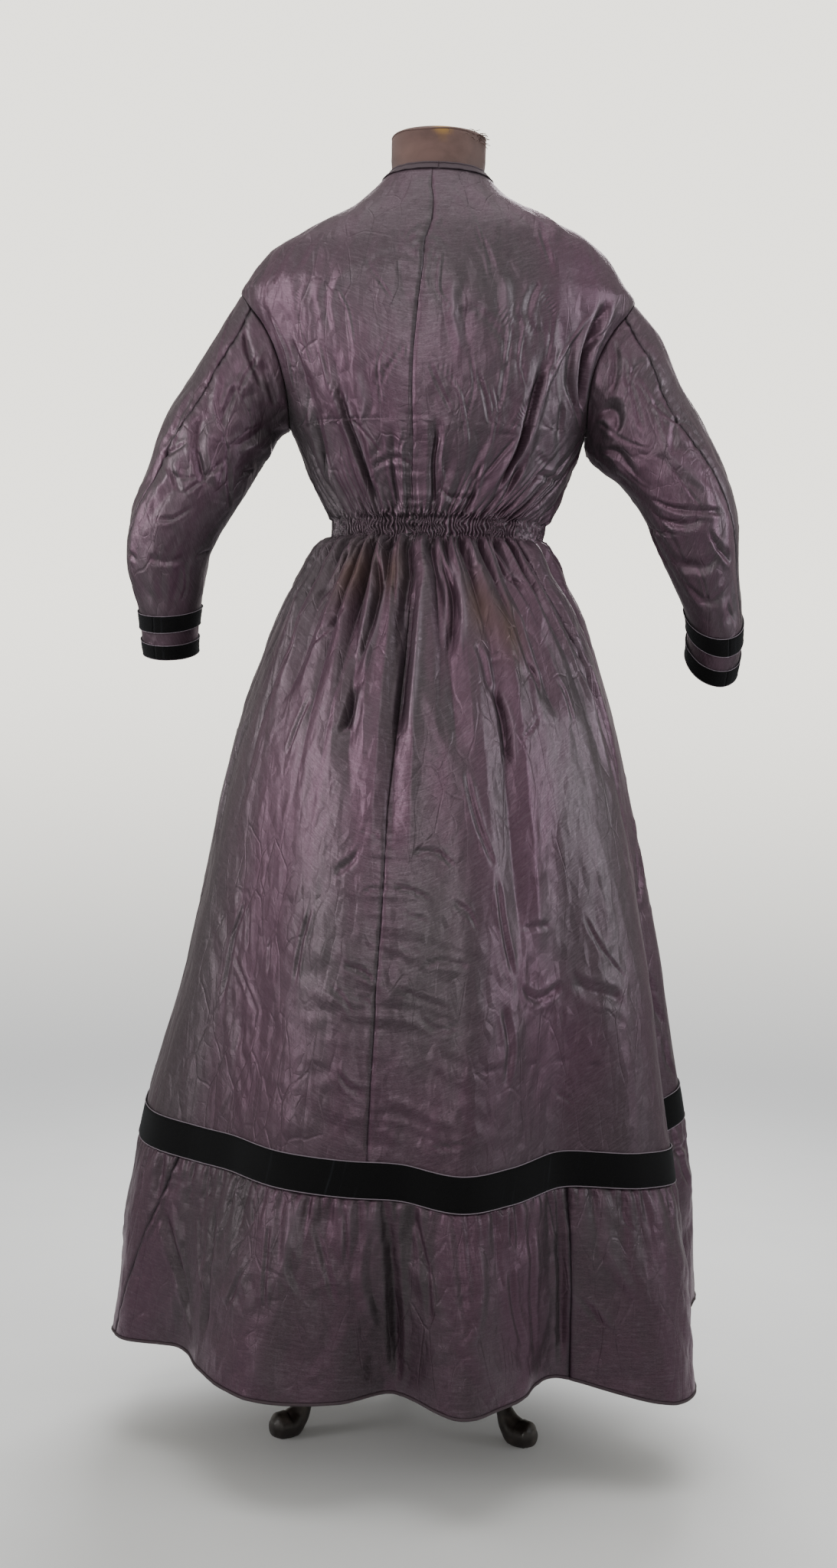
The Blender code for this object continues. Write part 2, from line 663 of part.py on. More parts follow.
def centre_on_origin():
    """Move everything so that the middle of the dress's box stands over the origin."""
    bpy.context.view_layer.update()
    corners = np.array([tuple(thing.matrix_world @ vertex.co)
                        for thing in PARTS.objects for vertex in thing.data.vertices])
    middle = (corners.min(axis=0) + corners.max(axis=0)) / 2
    for thing in PARTS.objects:
        thing.location.x -= middle[0]
        thing.location.y -= middle[1]


def build():
    """Build the dress, the form and the stand."""
    materials = {
        "silk": finish("silk", (0.085, 0.045, 0.075), 0.35),
        "velvet": finish("velvet", (0.004, 0.004, 0.005), 0.9),
        "button": finish("button", (0.02, 0.012, 0.02), 0.4),
        "form_cloth": finish("form_cloth", (0.13, 0.075, 0.065), 0.8),
        "stand": finish("stand", (0.018, 0.012, 0.010), 0.35),
    }
    pieces = ("back_left", "back_right", "front_right", "front_left")
    panels = {piece: make_panel(piece, materials["silk"]) for piece in pieces}
    back = [panels["back_left"], panels["back_right"]]
    front = [panels["front_right"], panels["front_left"]]
    band = (BAND_TOP, SKIRT_END)
    make_ribbon("hem_ribbon_back", back, band, materials["velvet"])
    make_ribbon("hem_ribbon_front", front, band, materials["velvet"])
    whole = [panels["front_left"], *back, panels["front_right"]]
    make_ribbon("neck_binding", whole, (NECK_LEVEL, BINDING_LEVEL), materials["silk"])
    for name, start, end in FLOUNCE:
        make_flounce(name, start, end, materials["silk"])
    for name in SLEEVES:
        make_sleeve(name, materials)
    make_buttons(panels["front_right"], materials["button"])
    make_form(materials["form_cloth"])
    make_stand(materials["stand"])
    centre_on_origin()


clear_scene()
PARTS = bpy.data.collections.new("wrapper_dress_on_form")
bpy.context.scene.collection.children.link(PARTS)
build()
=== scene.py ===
# %% [markdown]
# # A shot silk wrapper dress on a dress form
#
# The real thing is a long-sleeved, high-necked dress of crisp silk taffeta, woven from purple
# threads one way and green-grey threads the other, so that its colour shifts from fold to fold.
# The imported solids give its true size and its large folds. This lesson rebuilds each piece
# of cloth as a fine grid over the same curves, and adds gathers, creases, seams and stitches.

# %% Load the frame
import math

import bpy
import numpy as np
from mathutils import Matrix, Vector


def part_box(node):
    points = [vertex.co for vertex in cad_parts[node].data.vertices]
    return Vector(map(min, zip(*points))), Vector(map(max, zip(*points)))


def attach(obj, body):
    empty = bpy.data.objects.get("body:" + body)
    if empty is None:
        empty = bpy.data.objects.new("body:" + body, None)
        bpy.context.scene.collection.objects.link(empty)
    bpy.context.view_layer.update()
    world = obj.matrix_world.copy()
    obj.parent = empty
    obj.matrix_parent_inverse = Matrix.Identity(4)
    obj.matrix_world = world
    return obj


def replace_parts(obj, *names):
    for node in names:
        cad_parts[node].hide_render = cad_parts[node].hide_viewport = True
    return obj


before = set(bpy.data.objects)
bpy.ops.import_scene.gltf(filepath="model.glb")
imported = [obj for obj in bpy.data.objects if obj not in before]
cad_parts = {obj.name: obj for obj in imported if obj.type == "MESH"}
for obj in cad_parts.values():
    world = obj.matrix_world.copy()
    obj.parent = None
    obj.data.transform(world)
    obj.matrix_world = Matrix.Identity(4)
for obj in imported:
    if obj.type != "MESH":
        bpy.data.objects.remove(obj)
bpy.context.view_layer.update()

print("solids loaded:", len(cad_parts))

# %% [markdown]
# ## Where the pole stands
#
# All curves below are written round the pole of the stand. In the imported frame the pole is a
# little off the origin, so its place is read once and added to every point that is made.

# %% The middle of the stand
pole_low, pole_high = (np.array(corner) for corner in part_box("form_pole"))
PLACE = (pole_low + pole_high) / 2 * (1, 1, 0)
print("pole at", PLACE.round(4))

# %% [markdown]
# ## The camera
#
# The photograph was taken from a little over two metres behind the dress, with the lens a little
# above half its height, tipped slightly down and turned a degree and a half. A camera can be
# aimed by hand or with a constraint. Here its three axes are worked out from those angles,
# which is exact.

# %% Camera
EYE = (-0.0043, -2.400, 0.8626)
PITCH = math.radians(2.654)
ROLL = math.radians(1.4917)
LENS = 47.03
SENSOR = 36.0

ahead = np.array([0.0, math.cos(PITCH), -math.sin(PITCH)])
level_right = np.array([1.0, 0.0, 0.0])
level_up = np.cross(level_right, ahead)
right = math.cos(ROLL) * level_right + math.sin(ROLL) * level_up
up = math.cos(ROLL) * level_up - math.sin(ROLL) * level_right
view = Matrix.Identity(4)
for row in range(3):
    view[row][0], view[row][1], view[row][2] = right[row], up[row], -ahead[row]
    view[row][3] = EYE[row] + PLACE[row]
camera_data = bpy.data.cameras.new("camera")
camera_data.lens = LENS
camera_data.sensor_width = SENSOR
camera_data.sensor_fit = "AUTO"
camera = bpy.data.objects.new("camera", camera_data)
camera.matrix_world = view
bpy.context.scene.collection.objects.link(camera)
bpy.context.scene.camera = camera
print("camera distance", abs(EYE[1]))

# %% [markdown]
# ## Small tools for curves
#
# Cloth has no straight corners, so every table of sizes is read through a smooth curve. The curve
# used here never overshoots its rows, which keeps the waist and the shoulders where they are.

# %% Smooth curves and steps


def rows_of(text):
    """Rows of numbers read from text, with a semicolon between rows."""
    return tuple(tuple(map(float, row.split())) for row in text.split(";"))


def table(columns, rows):
    """Turn rows with named columns into one array for each name, lowest first value first."""
    rows = np.array(sorted(rows), float)
    return {name: rows[:, i] for i, name in enumerate(columns.split())}


def ease(share):
    """Smooth step: 3 share squared minus 2 share cubed, held between 0 and 1."""
    share = np.clip(share, 0.0, 1.0)
    return share * share * (3.0 - 2.0 * share)


def hermite(values, slopes, i, span, t):
    """Cubic between values i and i + 1 with the slopes given, at a share t of the span."""
    start = values[i] * (1 + 2 * t) * (1 - t) ** 2 + slopes[i] * span * t * (1 - t) ** 2
    end = values[i + 1] * t * t * (3 - 2 * t) - slopes[i + 1] * span * t * t * (1 - t)
    return start + end


def curve(places, values, at):
    """Cubic curve through the values. Its slope at a row is the harmonic mean of its neighbours'
    slopes, or level where they differ in sign, so that it never overshoots."""
    places, values, at = np.asarray(places), np.asarray(values), np.asarray(at, float)
    spans = np.diff(places).reshape((-1,) + (1,) * (values.ndim - 1))
    rises = np.diff(values, axis=0) / spans
    before, after = rises[:-1], rises[1:]
    same = before * after > 0
    bottom = np.where(same, before + after, 1.0)
    inner = np.where(same, 2 * before * after / bottom, 0.0)
    slopes = np.concatenate([rises[:1], inner, rises[-1:]])
    i = np.clip(np.searchsorted(places, at, side="right") - 1, 0, len(places) - 2)
    span = spans[i] if values.ndim > 1 else (places[i + 1] - places[i])
    t = (np.clip(at, places[0], places[-1]) - places[i]) / (places[i + 1] - places[i])
    return hermite(values, slopes, i, span, t.reshape(t.shape + (1,) * (values.ndim - 1)))


print("halfway up a step:", float(ease(0.5)))

# %% [markdown]
# ## The shape of the dress
#
# Each ring of the dress is an oval, named by its level. Below the waist the oval swells and sinks
# with the deep folds of the hem. The same rows shaped the solids, so the fine cloth made here
# lies on them.

# %% Sizes of the dress
CLOTH = 0.0012
VELVET = 0.0012
GAP = 0.0003
NECK_LEVEL, BINDING_LEVEL = 1.456, 1.449
SHIRRING_TOP, SHIRRING_END = 1.055, 1.037
DRAPE_TOP, BAND_TOP, BAND_LEVEL, SKIRT_END, HEM_LEVEL = 1.000, 0.369, 0.350, 0.331, 0.120
NECK_DROP, DROP_LEVEL = 0.050, 1.250
ARMHOLE_LEVEL, ARMHOLE_HALF = 1.2375, 0.0775
ARMHOLE_BACK, ARMHOLE_FRONT = 26.0, 30.0
NUDGE_ANGLE, NUDGE_LEVEL = 0.4, 0.001

PROFILE = table("level half_width back_depth front_depth centre_x", rows_of("""
    1.456 0.0555 0.058 0.058 0; 1.449 0.064 0.062 0.063 0; 1.43 0.083 0.074 0.074 0.001;
    1.412 0.113 0.084 0.083 0.006; 1.386 0.165 0.097 0.094 0.009; 1.36 0.2 0.106 0.106 0.004;
    1.333 0.218 0.111 0.115 0.003; 1.315 0.228 0.113 0.121 0.004; 1.3 0.227 0.1145 0.126 0.004;
    1.275 0.217 0.1155 0.132 0.004; 1.2375 0.202 0.116 0.136 0.004; 1.16 0.1715 0.11 0.131 0.008;
    1.13 0.16 0.104 0.12 0.01; 1.1 0.148 0.098 0.108 0.01; 1.075 0.135 0.092 0.098 0.011;
    1.055 0.123 0.088 0.093 0.011; 1.037 0.122 0.088 0.093 0.01; 1.02 0.137 0.104 0.1 0.005;
    0.99 0.154 0.127 0.111 0.004; 0.95 0.176 0.152 0.128 0.005; 0.9 0.195 0.176 0.146 0.006;
    0.83 0.218 0.202 0.166 0.006; 0.74 0.24 0.226 0.188 0.006; 0.64 0.26 0.246 0.208 0.008;
    0.54 0.28 0.263 0.227 0.008; 0.44 0.301 0.278 0.246 0.003; 0.369 0.317 0.286 0.26 0;
    0.331 0.324 0.29 0.265 0; 0.24 0.337 0.308 0.271 0; 0.12 0.342 0.322 0.276 0
"""))

# Deep folds of the hem: radius as a multiple of the oval, and height, at the ribbon and the hem
PLAN = table("angle band_swell band_height hem_swell hem_height", rows_of("""
    -158 0.98 0.382 1.01 0.14; -135 1.02 0.375 0.97 0.134; -112 1.01 0.363 1.03 0.124;
    -90 0.99 0.357 0.99 0.117; -72 0.97 0.354 1.01 0.118; -56 0.89 0.351 0.88 0.126;
    -45 0.88 0.351 0.94 0.123; -27 0.95 0.348 1.03 0.117; -13 0.97 0.347 0.97 0.119;
    -2 0.95 0.345 0.85 0.122; 9 1.03 0.338 1.06 0.117; 19 0.97 0.341 0.97 0.12;
    34 0.88 0.349 0.83 0.126; 52 1 0.342 1.09 0.098; 64 1.01 0.339 1.04 0.099;
    81 0.81 0.35 0.8 0.116; 97 1 0.376 1 0.13; 110 1.04 0.384 1.07 0.136; 130 1 0.387 0.96 0.14;
    150 0.98 0.386 1.03 0.142; 168 1.01 0.385 0.98 0.142
"""))

# Angles of the lengthwise seams down the dress
SEAMS = table("level left_side centre_back right_side", rows_of("""
    1.456 -90 -6 90; 1.333 -90 -4.5 90; 1.16 -90 -10 90; 1.1 -82 -12 66; 1.055 -74 -13.6 46;
    1.037 -74 -12.5 46; 0.99 -75 -8 52; 0.9 -77 -8.7 62; 0.74 -80 -10.4 70; 0.54 -83 -11 77;
    0.331 -85 -8.6 81
"""))
print("rings:", len(PROFILE["level"]), "folds round the hem:", len(PLAN["angle"]))

# %% The smooth surface, without its creases


def plan(name, angle):
    """Periodic cubic curve through one column of the hem's plan, slopes by central difference."""
    places = np.concatenate([PLAN["angle"] + turn for turn in (-720, -360, 0, 360, 720)])
    values = np.tile(PLAN[name], 5)
    slopes = np.gradient(values, places)
    i = np.clip(np.searchsorted(places, angle) - 1, 0, len(places) - 2)
    span = places[i + 1] - places[i]
    return hermite(values, slopes, i, span, (angle - places[i]) / span)


def oval(name, level):
    """One column of the profile at a level."""
    return curve(PROFILE["level"], PROFILE[name], level)


def base(angle, level):
    """Point at an angle round the pole and a level: x is half width times sine, y is minus depth
    times cosine, both times the swell of the hem's folds, and z is the level, dipped the same way
    below the waist and dropped at mid front towards the neckline."""
    angle, level = np.broadcast_arrays(np.asarray(angle, float), np.asarray(level, float))
    turn = np.radians(angle)
    depth = np.where(np.cos(turn) > 0, oval("back_depth", level), oval("front_depth", level))
    drape = ease((DRAPE_TOP - level) / (DRAPE_TOP - BAND_LEVEL))
    lower = np.clip((SKIRT_END - level) / (SKIRT_END - HEM_LEVEL), 0.0, 1.0)
    swell = plan("band_swell", angle) * (1 - lower) + plan("hem_swell", angle) * lower
    swell = 1 + drape * (swell - 1)
    dip = (plan("band_height", angle) - BAND_LEVEL) * (1 - lower)
    dip = dip + (plan("hem_height", angle) - HEM_LEVEL) * lower
    drop = NECK_DROP * ((1 - np.cos(turn)) / 2) ** 3
    drop = drop * ease((level - DROP_LEVEL) / (NECK_LEVEL - DROP_LEVEL))
    x = oval("centre_x", level) + oval("half_width", level) * np.sin(turn) * swell
    y = -depth * np.cos(turn) * swell
    return np.stack([x, y, level + drape * dip - drop], axis=-1)


def outward(angle, level):
    """Unit normal of the smooth surface, from two short steps along it."""
    across = base(angle + NUDGE_ANGLE, level) - base(angle - NUDGE_ANGLE, level)
    along = base(angle, level + NUDGE_LEVEL) - base(angle, level - NUDGE_LEVEL)
    normal = np.cross(across, along)
    return normal / np.linalg.norm(normal, axis=-1, keepdims=True)


def per_degree(angle, level):
    """Metres of cloth in one degree of the oval at a level."""
    wide = oval("half_width", level) * np.cos(np.radians(angle))
    deep = oval("back_depth", level) * np.sin(np.radians(angle))
    return np.radians(np.hypot(wide, deep))


print("nape of the neck at", base(0.0, NECK_LEVEL).round(3))

# %% [markdown]
# ## Creases placed one by one
#
# A crease in taffeta is a narrow trough with a rounded ridge on each side. Each row below places
# one by its start, middle and end, as an angle and a level, with its width and depth in
# millimetres. A negative depth makes a ridge. Sculpting them with a brush would also work, but
# a table can be read, mirrored and changed.

# %% Creases of the bodice
# Each row: angle 1, level 1, angle 2, level 2, angle 3, level 3, width, depth
BODICE = rows_of("""
    -37 1.215 -36.8 1.165 -31.2 1.065 4 6; -57.4 1.133 -56.4 1.092 -58.6 1.062 3 4;
    -53.4 1.175 -55.2 1.142 -61.2 1.087 3 3; -20 1.126 -20.4 1.093 -21 1.061 2.2 2.5;
    -0.4 1.154 -2.8 1.112 -2.6 1.065 2.4 3.5; 37.8 1.235 35.4 1.157 25.4 1.072 5 9;
    36.6 1.117 34 1.096 30 1.072 3 4; 17.2 1.121 16.6 1.094 14.6 1.068 3 3;
    56 1.312 55.2 1.252 65 1.177 8 12; 46.2 1.27 51 1.212 68.8 1.165 5 5;
    12.6 1.369 14.8 1.348 16.2 1.329 4 1.5; -72.2 1.269 -68.4 1.246 -67.8 1.225 5 6;
    -7 1.244 -15 1.222 -20.8 1.191 2.5 1.5; 3.6 1.324 4.2 1.286 8.2 1.228 8 -2.2;
    18.4 1.327 20 1.289 24.8 1.256 7 -2.2; 48 1.405 36.8 1.369 35.6 1.334 3 2;
    -52.6 1.251 -51.6 1.23 -51.4 1.206 4 2; -27.6 1.218 -27.2 1.185 -31.8 1.152 7 -2.2;
    12.2 1.22 16 1.194 19.6 1.154 3 2; 22.8 1.23 22.6 1.192 19.2 1.167 3.5 2.2;
    -2.8 1.227 0 1.202 4.8 1.169 3 1.6; -31 1.109 -18.6 1.12 -9.4 1.109 4 3;
    -1.2 1.091 5.8 1.078 16.8 1.078 3.5 3; 41.2 1.087 49 1.108 68.6 1.103 4.5 4;
    50.2 1.19 52.2 1.171 54.4 1.152 4 3; 42.4 1.132 47.2 1.125 51.8 1.12 2.5 2;
    -13.4 1.358 -7.4 1.372 3.8 1.356 6 1.4; -23.6 1.332 -12.6 1.345 -2.8 1.335 6 1.2;
    -4 1.408 0.4 1.406 5 1.405 2 1; -30.8 1.328 -34.6 1.286 -35 1.252 6 1.8;
    8.2 1.287 15.6 1.271 25 1.231 5 1.8; 29.2 1.325 26.6 1.29 32.2 1.249 6 2.4;
    -9.2 1.246 -14.6 1.225 -23.2 1.196 2.2 1.8; -9.4 1.355 -3.8 1.347 3 1.33 2 1.4;
    -14.6 1.37 -7.4 1.359 -0.2 1.355 2 1.2; -7.4 1.389 -4.4 1.385 0.8 1.38 2 1.2;
    1 1.35 -0.2 1.309 4.8 1.277 2.2 -1.5; 0.2 1.289 6.8 1.278 15.2 1.287 2.4 1.6;
    16.6 1.296 21.8 1.26 22.6 1.218 2.4 -1.8; 27 1.321 35.2 1.284 38.4 1.229 2.4 1.8;
    50.4 1.293 43.2 1.231 38 1.177 2.6 -2.2; 62.8 1.287 56.2 1.247 60.6 1.198 2.6 2.4;
    -59.6 1.282 -57.2 1.239 -61 1.198 2.4 -2; -40.4 1.248 -40.4 1.205 -33.8 1.177 2.4 -2;
    -43.6 1.314 -46 1.255 -45.4 1.217 2 1.4; -40 1.174 -30.2 1.148 -24.2 1.12 2.2 1.8;
    -0.8 1.23 8.2 1.186 11.6 1.128 2.2 -1.6; 10.4 1.236 12.4 1.199 8.6 1.15 2.2 1.6;
    -14.8 1.26 -20.2 1.212 -20.8 1.17 2.2 1.4; 32.2 1.153 24.4 1.123 16 1.089 2.4 1.8;
    40.2 1.236 34.4 1.191 27 1.148 2.4 2; -22.6 1.341 -16 1.309 -12.8 1.29 2.2 0.9;
    11.4 1.389 14 1.35 14.4 1.312 2.2 -1; -29.8 1.309 -27.2 1.278 -27 1.241 2.2 -1.2;
    26.4 1.27 27.2 1.233 31.6 1.197 2 -1.4; 17.8 1.206 21.2 1.17 20.4 1.133 2 -1.4;
    -13.2 1.148 -16.6 1.124 -16.4 1.093 2 1.6; 2 1.149 0.6 1.118 3 1.088 2 -1.4
""")
print("creases of the bodice:", len(BODICE))

# %% Creases of the skirt
SKIRT = rows_of("""
    -27.6 1.029 -20.6 0.963 -24.4 0.874 5 8; -17.8 1.031 -14.6 0.98 -13.2 0.945 3 4;
    2.8 1.022 8.2 0.964 6.6 0.897 6 10; 16 1.025 16.4 1.002 26.2 0.991 3 4;
    29.4 1.035 34.2 0.992 41.2 0.975 4 6; 45.2 1.039 47.8 1.016 50.2 0.992 3 3;
    31.2 0.963 32.2 0.924 35.2 0.869 6 6; -46.4 1.03 -41.6 1.007 -47.6 0.961 4 5;
    -31.2 0.954 -37.2 0.928 -45.8 0.9 4 3; -64.4 1.038 -61.8 1.014 -73 0.989 3 3;
    14.6 0.916 17 0.892 18.2 0.862 5 4; -5.4 0.996 -6.8 0.945 -8.6 0.805 6 9;
    -23.2 0.87 -24.6 0.825 -27.6 0.81 6 6; -38.6 0.854 -41.8 0.823 -45.2 0.781 4 2.5;
    -68 0.847 -76.4 0.763 -75.8 0.66 8 -3; -54 0.631 -58 0.576 -59 0.503 5 2.5;
    -53.6 0.624 -52.6 0.595 -51.6 0.564 4 2; -58 0.566 -52.8 0.541 -44 0.5 3 2;
    -43.6 0.59 -42.8 0.565 -42.4 0.546 3 2; -29 0.632 -31.2 0.59 -32.2 0.539 4 2;
    -17.2 0.71 -14.4 0.709 -11.8 0.707 3 2.5; -16.2 0.646 -12.6 0.652 -8.8 0.655 3 2;
    -19 0.57 -14.6 0.565 -11.2 0.555 4 4; -22.8 0.496 -19.4 0.497 -16.4 0.496 2.5 1.5;
    -16 0.536 -13.6 0.536 -11.8 0.532 3 3; -23.8 0.666 -20.4 0.674 -17 0.689 5 3;
    -13.8 0.816 -11.8 0.816 -9.8 0.813 2.5 2; 9.6 0.784 12 0.736 16.8 0.675 3.5 3;
    16.8 0.675 18.2 0.625 21 0.561 4 3.5; 19.4 0.875 22.4 0.827 23 0.776 6 5;
    17.4 0.893 27.6 0.901 29.6 0.89 3 2; 26.4 0.812 30.6 0.823 34.8 0.838 3 2.5;
    33.4 0.899 35.4 0.879 35.8 0.86 4 3; -4.2 0.69 1.6 0.694 7 0.681 4 3.5;
    -8.4 0.655 -4 0.651 0.8 0.644 3 3; -5.6 0.627 -2.2 0.623 1 0.62 2.5 2;
    -6 0.592 -3.8 0.59 -1.2 0.59 2.5 2; -1.2 0.573 4.2 0.584 10.2 0.58 4 2.5;
    -7.2 0.549 -1 0.541 5.8 0.537 4 2; 22.4 0.553 28.8 0.536 36.6 0.547 6 4;
    17.4 0.542 19.4 0.492 18.6 0.45 5 3; 24 0.612 28.4 0.613 33.2 0.612 4 3;
    42.6 0.625 47.6 0.583 53.8 0.553 3 2; 38.4 0.549 45.8 0.54 52 0.535 10 4;
    33.8 0.432 36.6 0.426 38.6 0.418 2.5 2; -5 0.791 -0.8 0.792 3.4 0.79 2.5 1.5;
    1.4 0.388 7.4 0.4 13.8 0.408 2.5 2; 63 0.954 58 0.858 61.6 0.766 7 -3;
    43 0.884 46 0.859 47.4 0.828 3 1.6; -1.2 0.521 3 0.513 7.6 0.521 4 2.2;
    -17.4 0.459 -14.4 0.445 -11 0.438 4 2.5; -22 0.545 -19 0.538 -15.6 0.52 4 2.2;
    5.8 0.644 9.2 0.637 11.8 0.618 4 2
""")
# Long soft folds that fall from the shirring and rise from it, as in the solids
FOLDS = rows_of("""
    -36 1.25 -34.5 1.155 -33 1.06 9 4.5; -52 1.18 -57 1.12 -62 1.06 7 3.5;
    -18 1.16 -19 1.11 -20 1.06 6.5 4; -1 1.17 -2 1.115 -3 1.06 6.5 4;
    16 1.14 14.5 1.1 13 1.06 6.5 3.5; 37 1.26 35 1.163 33 1.065 9 5;
    -30 1.035 -26 0.908 -22 0.76 12 7.5; -10 1.035 -9.5 0.868 -9 0.66 13 8;
    3 1.035 5.5 0.928 8 0.78 12 7; 29 1.035 35.5 0.943 42 0.82 12 6.5;
    -39 1.035 -44.5 0.958 -50 0.84 11 6.5; 20 0.98 22 0.77 24 0.56 19 7;
    49 1.03 73 0.74 83 0.4 8 7; 44 1.02 66.5 0.74 77 0.42 5 -2.5
""")
# Thin pressed lines where the dress lay folded, and the stitched line across the lower back
PRESSED = rows_of("""
    -67.2 0.631 -48.6 0.629 -29 0.632 1.5 0.9; -74.4 0.492 -58.4 0.493 -42 0.494 1.5 0.9;
    -5 0.479 19.4 0.474 61.2 0.455 1.5 1; -67 1.165 -39 1.164 -11.6 1.163 1.2 0.7;
    -11.6 1.163 11.2 1.153 39.8 1.149 1.2 0.7; 28.4 1.266 34.6 1.268 41.6 1.27 1.2 0.8
""")
print("creases of the skirt:", len(SKIRT), "and long folds:", len(FOLDS))

# %% [markdown]
# ## From a row to a crease
#
# The distance from a grid point to a crease is measured across it, in metres of cloth, and
# a bell curve turns that distance into depth. Steep creases are followed by level and flat ones by
# angle, so whole grids are worked out at once.

# %% Creases as heights
MM = 0.001
SHARP = 1.35


def crease_heights(x, y, rows, x_metres, y_metres):
    """Sum of creases over a grid. Across a crease, height is minus a narrow peaked curve plus
    a lower one on each side; along it, both ends fade out over a quarter of its length.
    x_metres(row) and y_metres give the metres in one unit of each coordinate."""
    total = np.zeros(np.broadcast(x, y).shape)
    for row in rows:
        xs, ys = np.array(row[0:6:2], float), np.array(row[1:6:2], float)
        width, depth = 0.8 * row[6] * MM, row[7] * MM
        per_x, per_y = x_metres(xs[1], ys[1]), y_metres
        steep = abs(ys[2] - ys[0]) * per_y > abs(xs[2] - xs[0]) * per_x
        along, run, side, off = (y, ys, x, xs) if steep else (x, xs, y, ys)
        per_side, per_run = (per_x, per_y) if steep else (per_y, per_x)
        order = np.argsort(run)
        run, off = run[order], off[order]
        share = (along - run[0]) / (run[2] - run[0])
        near = (share > 0) & (share < 1)
        if not near.any():
            continue
        middle = min(max((run[1] - run[0]) / (run[2] - run[0]), 0.2), 0.8)
        centre = curve(np.array([0.0, middle, 1.0]), off, np.clip(share, 0, 1))
        lean = math.atan2(abs(off[2] - off[0]) * per_side, (run[2] - run[0]) * per_run)
        q = (side - centre) * per_side * math.cos(lean) / width
        shape = -np.exp(-1.1 * np.abs(q) ** SHARP) + 0.50 * np.exp(-1.3 * np.abs(q - 1.6) ** SHARP)
        shape = shape + 0.34 * np.exp(-1.3 * np.abs(q + 1.7) ** SHARP)
        total = total + near * depth * shape * ease(share * 4) * ease((1 - share) * 4)
    return total


def wrapped(angle):
    """The same angle between -180 and 180 degrees."""
    return (np.asarray(angle) + 180.0) % 360.0 - 180.0


def hidden_creases(seed, count, low_angle, high_angle, low_level, high_level):
    """Creases like those of the back, for the sides that the photograph doesn't show: most run
    down the cloth, some across it, with lengths, widths and depths drawn at random."""
    chance = np.random.default_rng(seed)
    rows = []
    for _ in range(count):
        angle = chance.uniform(low_angle, high_angle)
        level = chance.uniform(low_level, high_level)
        length = chance.uniform(0.03, 0.11)
        flat = chance.uniform() < 0.3
        width, depth = chance.uniform(2.5, 6.0), chance.uniform(1.2, 3.6)
        bend, lean = chance.uniform(-2.5, 2.5), chance.uniform(-4.0, 4.0)
        if flat:
            rows.append((angle - 9, level + lean * MM * 2, angle + bend, level,
                         angle + 9, level - lean * MM * 2, width, depth))
        else:
            rows.append((angle + lean, level + length / 2, angle + bend, level,
                         angle - lean, level - length / 2, width, depth))
    return rows


HIDDEN = (hidden_creases(11, 46, 86, 186, 0.40, 1.00)
          + hidden_creases(12, 46, 176, 280, 0.40, 1.00)
          + hidden_creases(13, 30, 88, 272, 1.06, 1.38))
print("creases of the hidden sides:", len(HIDDEN))

# %% [markdown]
# ## Crumples
#
# Between the placed creases taffeta keeps a crisp, faceted crumple. Cloud-like noise would look
# like felt. Scattering seeds over the cloth and raising or sinking the area round each one as a low
# roof gives flat facets with straight edges, as in paper that was crushed and smoothed out.

# %% Soft waves and facets


def soft(across, down, seed, size):
    """Smooth random hills, about -1 to 1: seven sine waves of random heading, one to two and
    a half sizes long, added up."""
    chance = np.random.default_rng(seed)
    total = 0.0
    for _ in range(7):
        heading, pitch = chance.uniform(0, 2 * math.pi), size * chance.uniform(1.0, 2.5)
        place = (across * math.cos(heading) + down * math.sin(heading)) / pitch
        total = total + np.sin(2 * math.pi * (place + chance.uniform()))
    return total / 3.0


CELLS = 61
FAR = 9.0


def crumple(across, down, seed, size, stretch=1.0, heading=0.0):
    """Crushed cloth, for a slope of up to one. Seeds lie one to a cell of a grid. Each point's
    height is its distance to the nearest border between its own seed's area and another's, times
    a random slope for that seed, so every area is a low roof or dent of flat facets."""
    cells = np.random.default_rng(seed).random((CELLS, CELLS, 3))
    u = (across * math.cos(heading) + down * math.sin(heading)) / size
    v = (down * math.cos(heading) - across * math.sin(heading)) / (size * stretch)
    u = u + 0.30 * soft(u, v, seed + 1, 3.0)
    v = v + 0.30 * soft(u, v, seed + 2, 3.0)
    i, j = np.floor(u).astype(int), np.floor(v).astype(int)

    def seed_near(a, b):
        """Place of the seed a and b cells away, its random number and its squared distance."""
        cell = cells[(i + a) % CELLS, (j + b) % CELLS]
        x, y = i + a + cell[..., 0], j + b + cell[..., 1]
        return (x, y, cell[..., 2]), (u - x) ** 2 + (v - y) ** 2

    nearest = np.full(u.shape, FAR)
    own = [np.zeros(u.shape) for _ in range(3)]
    for a in (-1, 0, 1):
        for b in (-1, 0, 1):
            found, squared = seed_near(a, b)
            closer = squared < nearest
            nearest = np.where(closer, squared, nearest)
            own = [np.where(closer, new, old) for new, old in zip(found, own)]
    border = np.full(u.shape, FAR)
    for a in (-2, -1, 0, 1, 2):
        for b in (-2, -1, 0, 1, 2):
            (x, y, _), squared = seed_near(a, b)
            apart = np.hypot(x - own[0], y - own[1])
            distance = np.where(apart > 1e-6, (squared - nearest) / (2 * apart + 1e-9), FAR)
            border = np.minimum(border, distance)
    return size * border * (2 * own[2] - 1)


print("a facet's height:", round(float(crumple(np.array([0.1]), np.array([0.2]), 1, 0.03)[0]), 4))

# %% [markdown]
# ## Shirring at the back waist
#
# Two gathering threads draw the whole width of the back into some sixty tiny pleats. Away from
# the threads the pleats join into fewer and larger ones, which run out into the long folds. Each
# set of pleats is a row of rounded ridges with sharp valleys, fading at its own pace.

# %% Gathers
FINE, MIDDLE, COARSE = 33, 16, 7


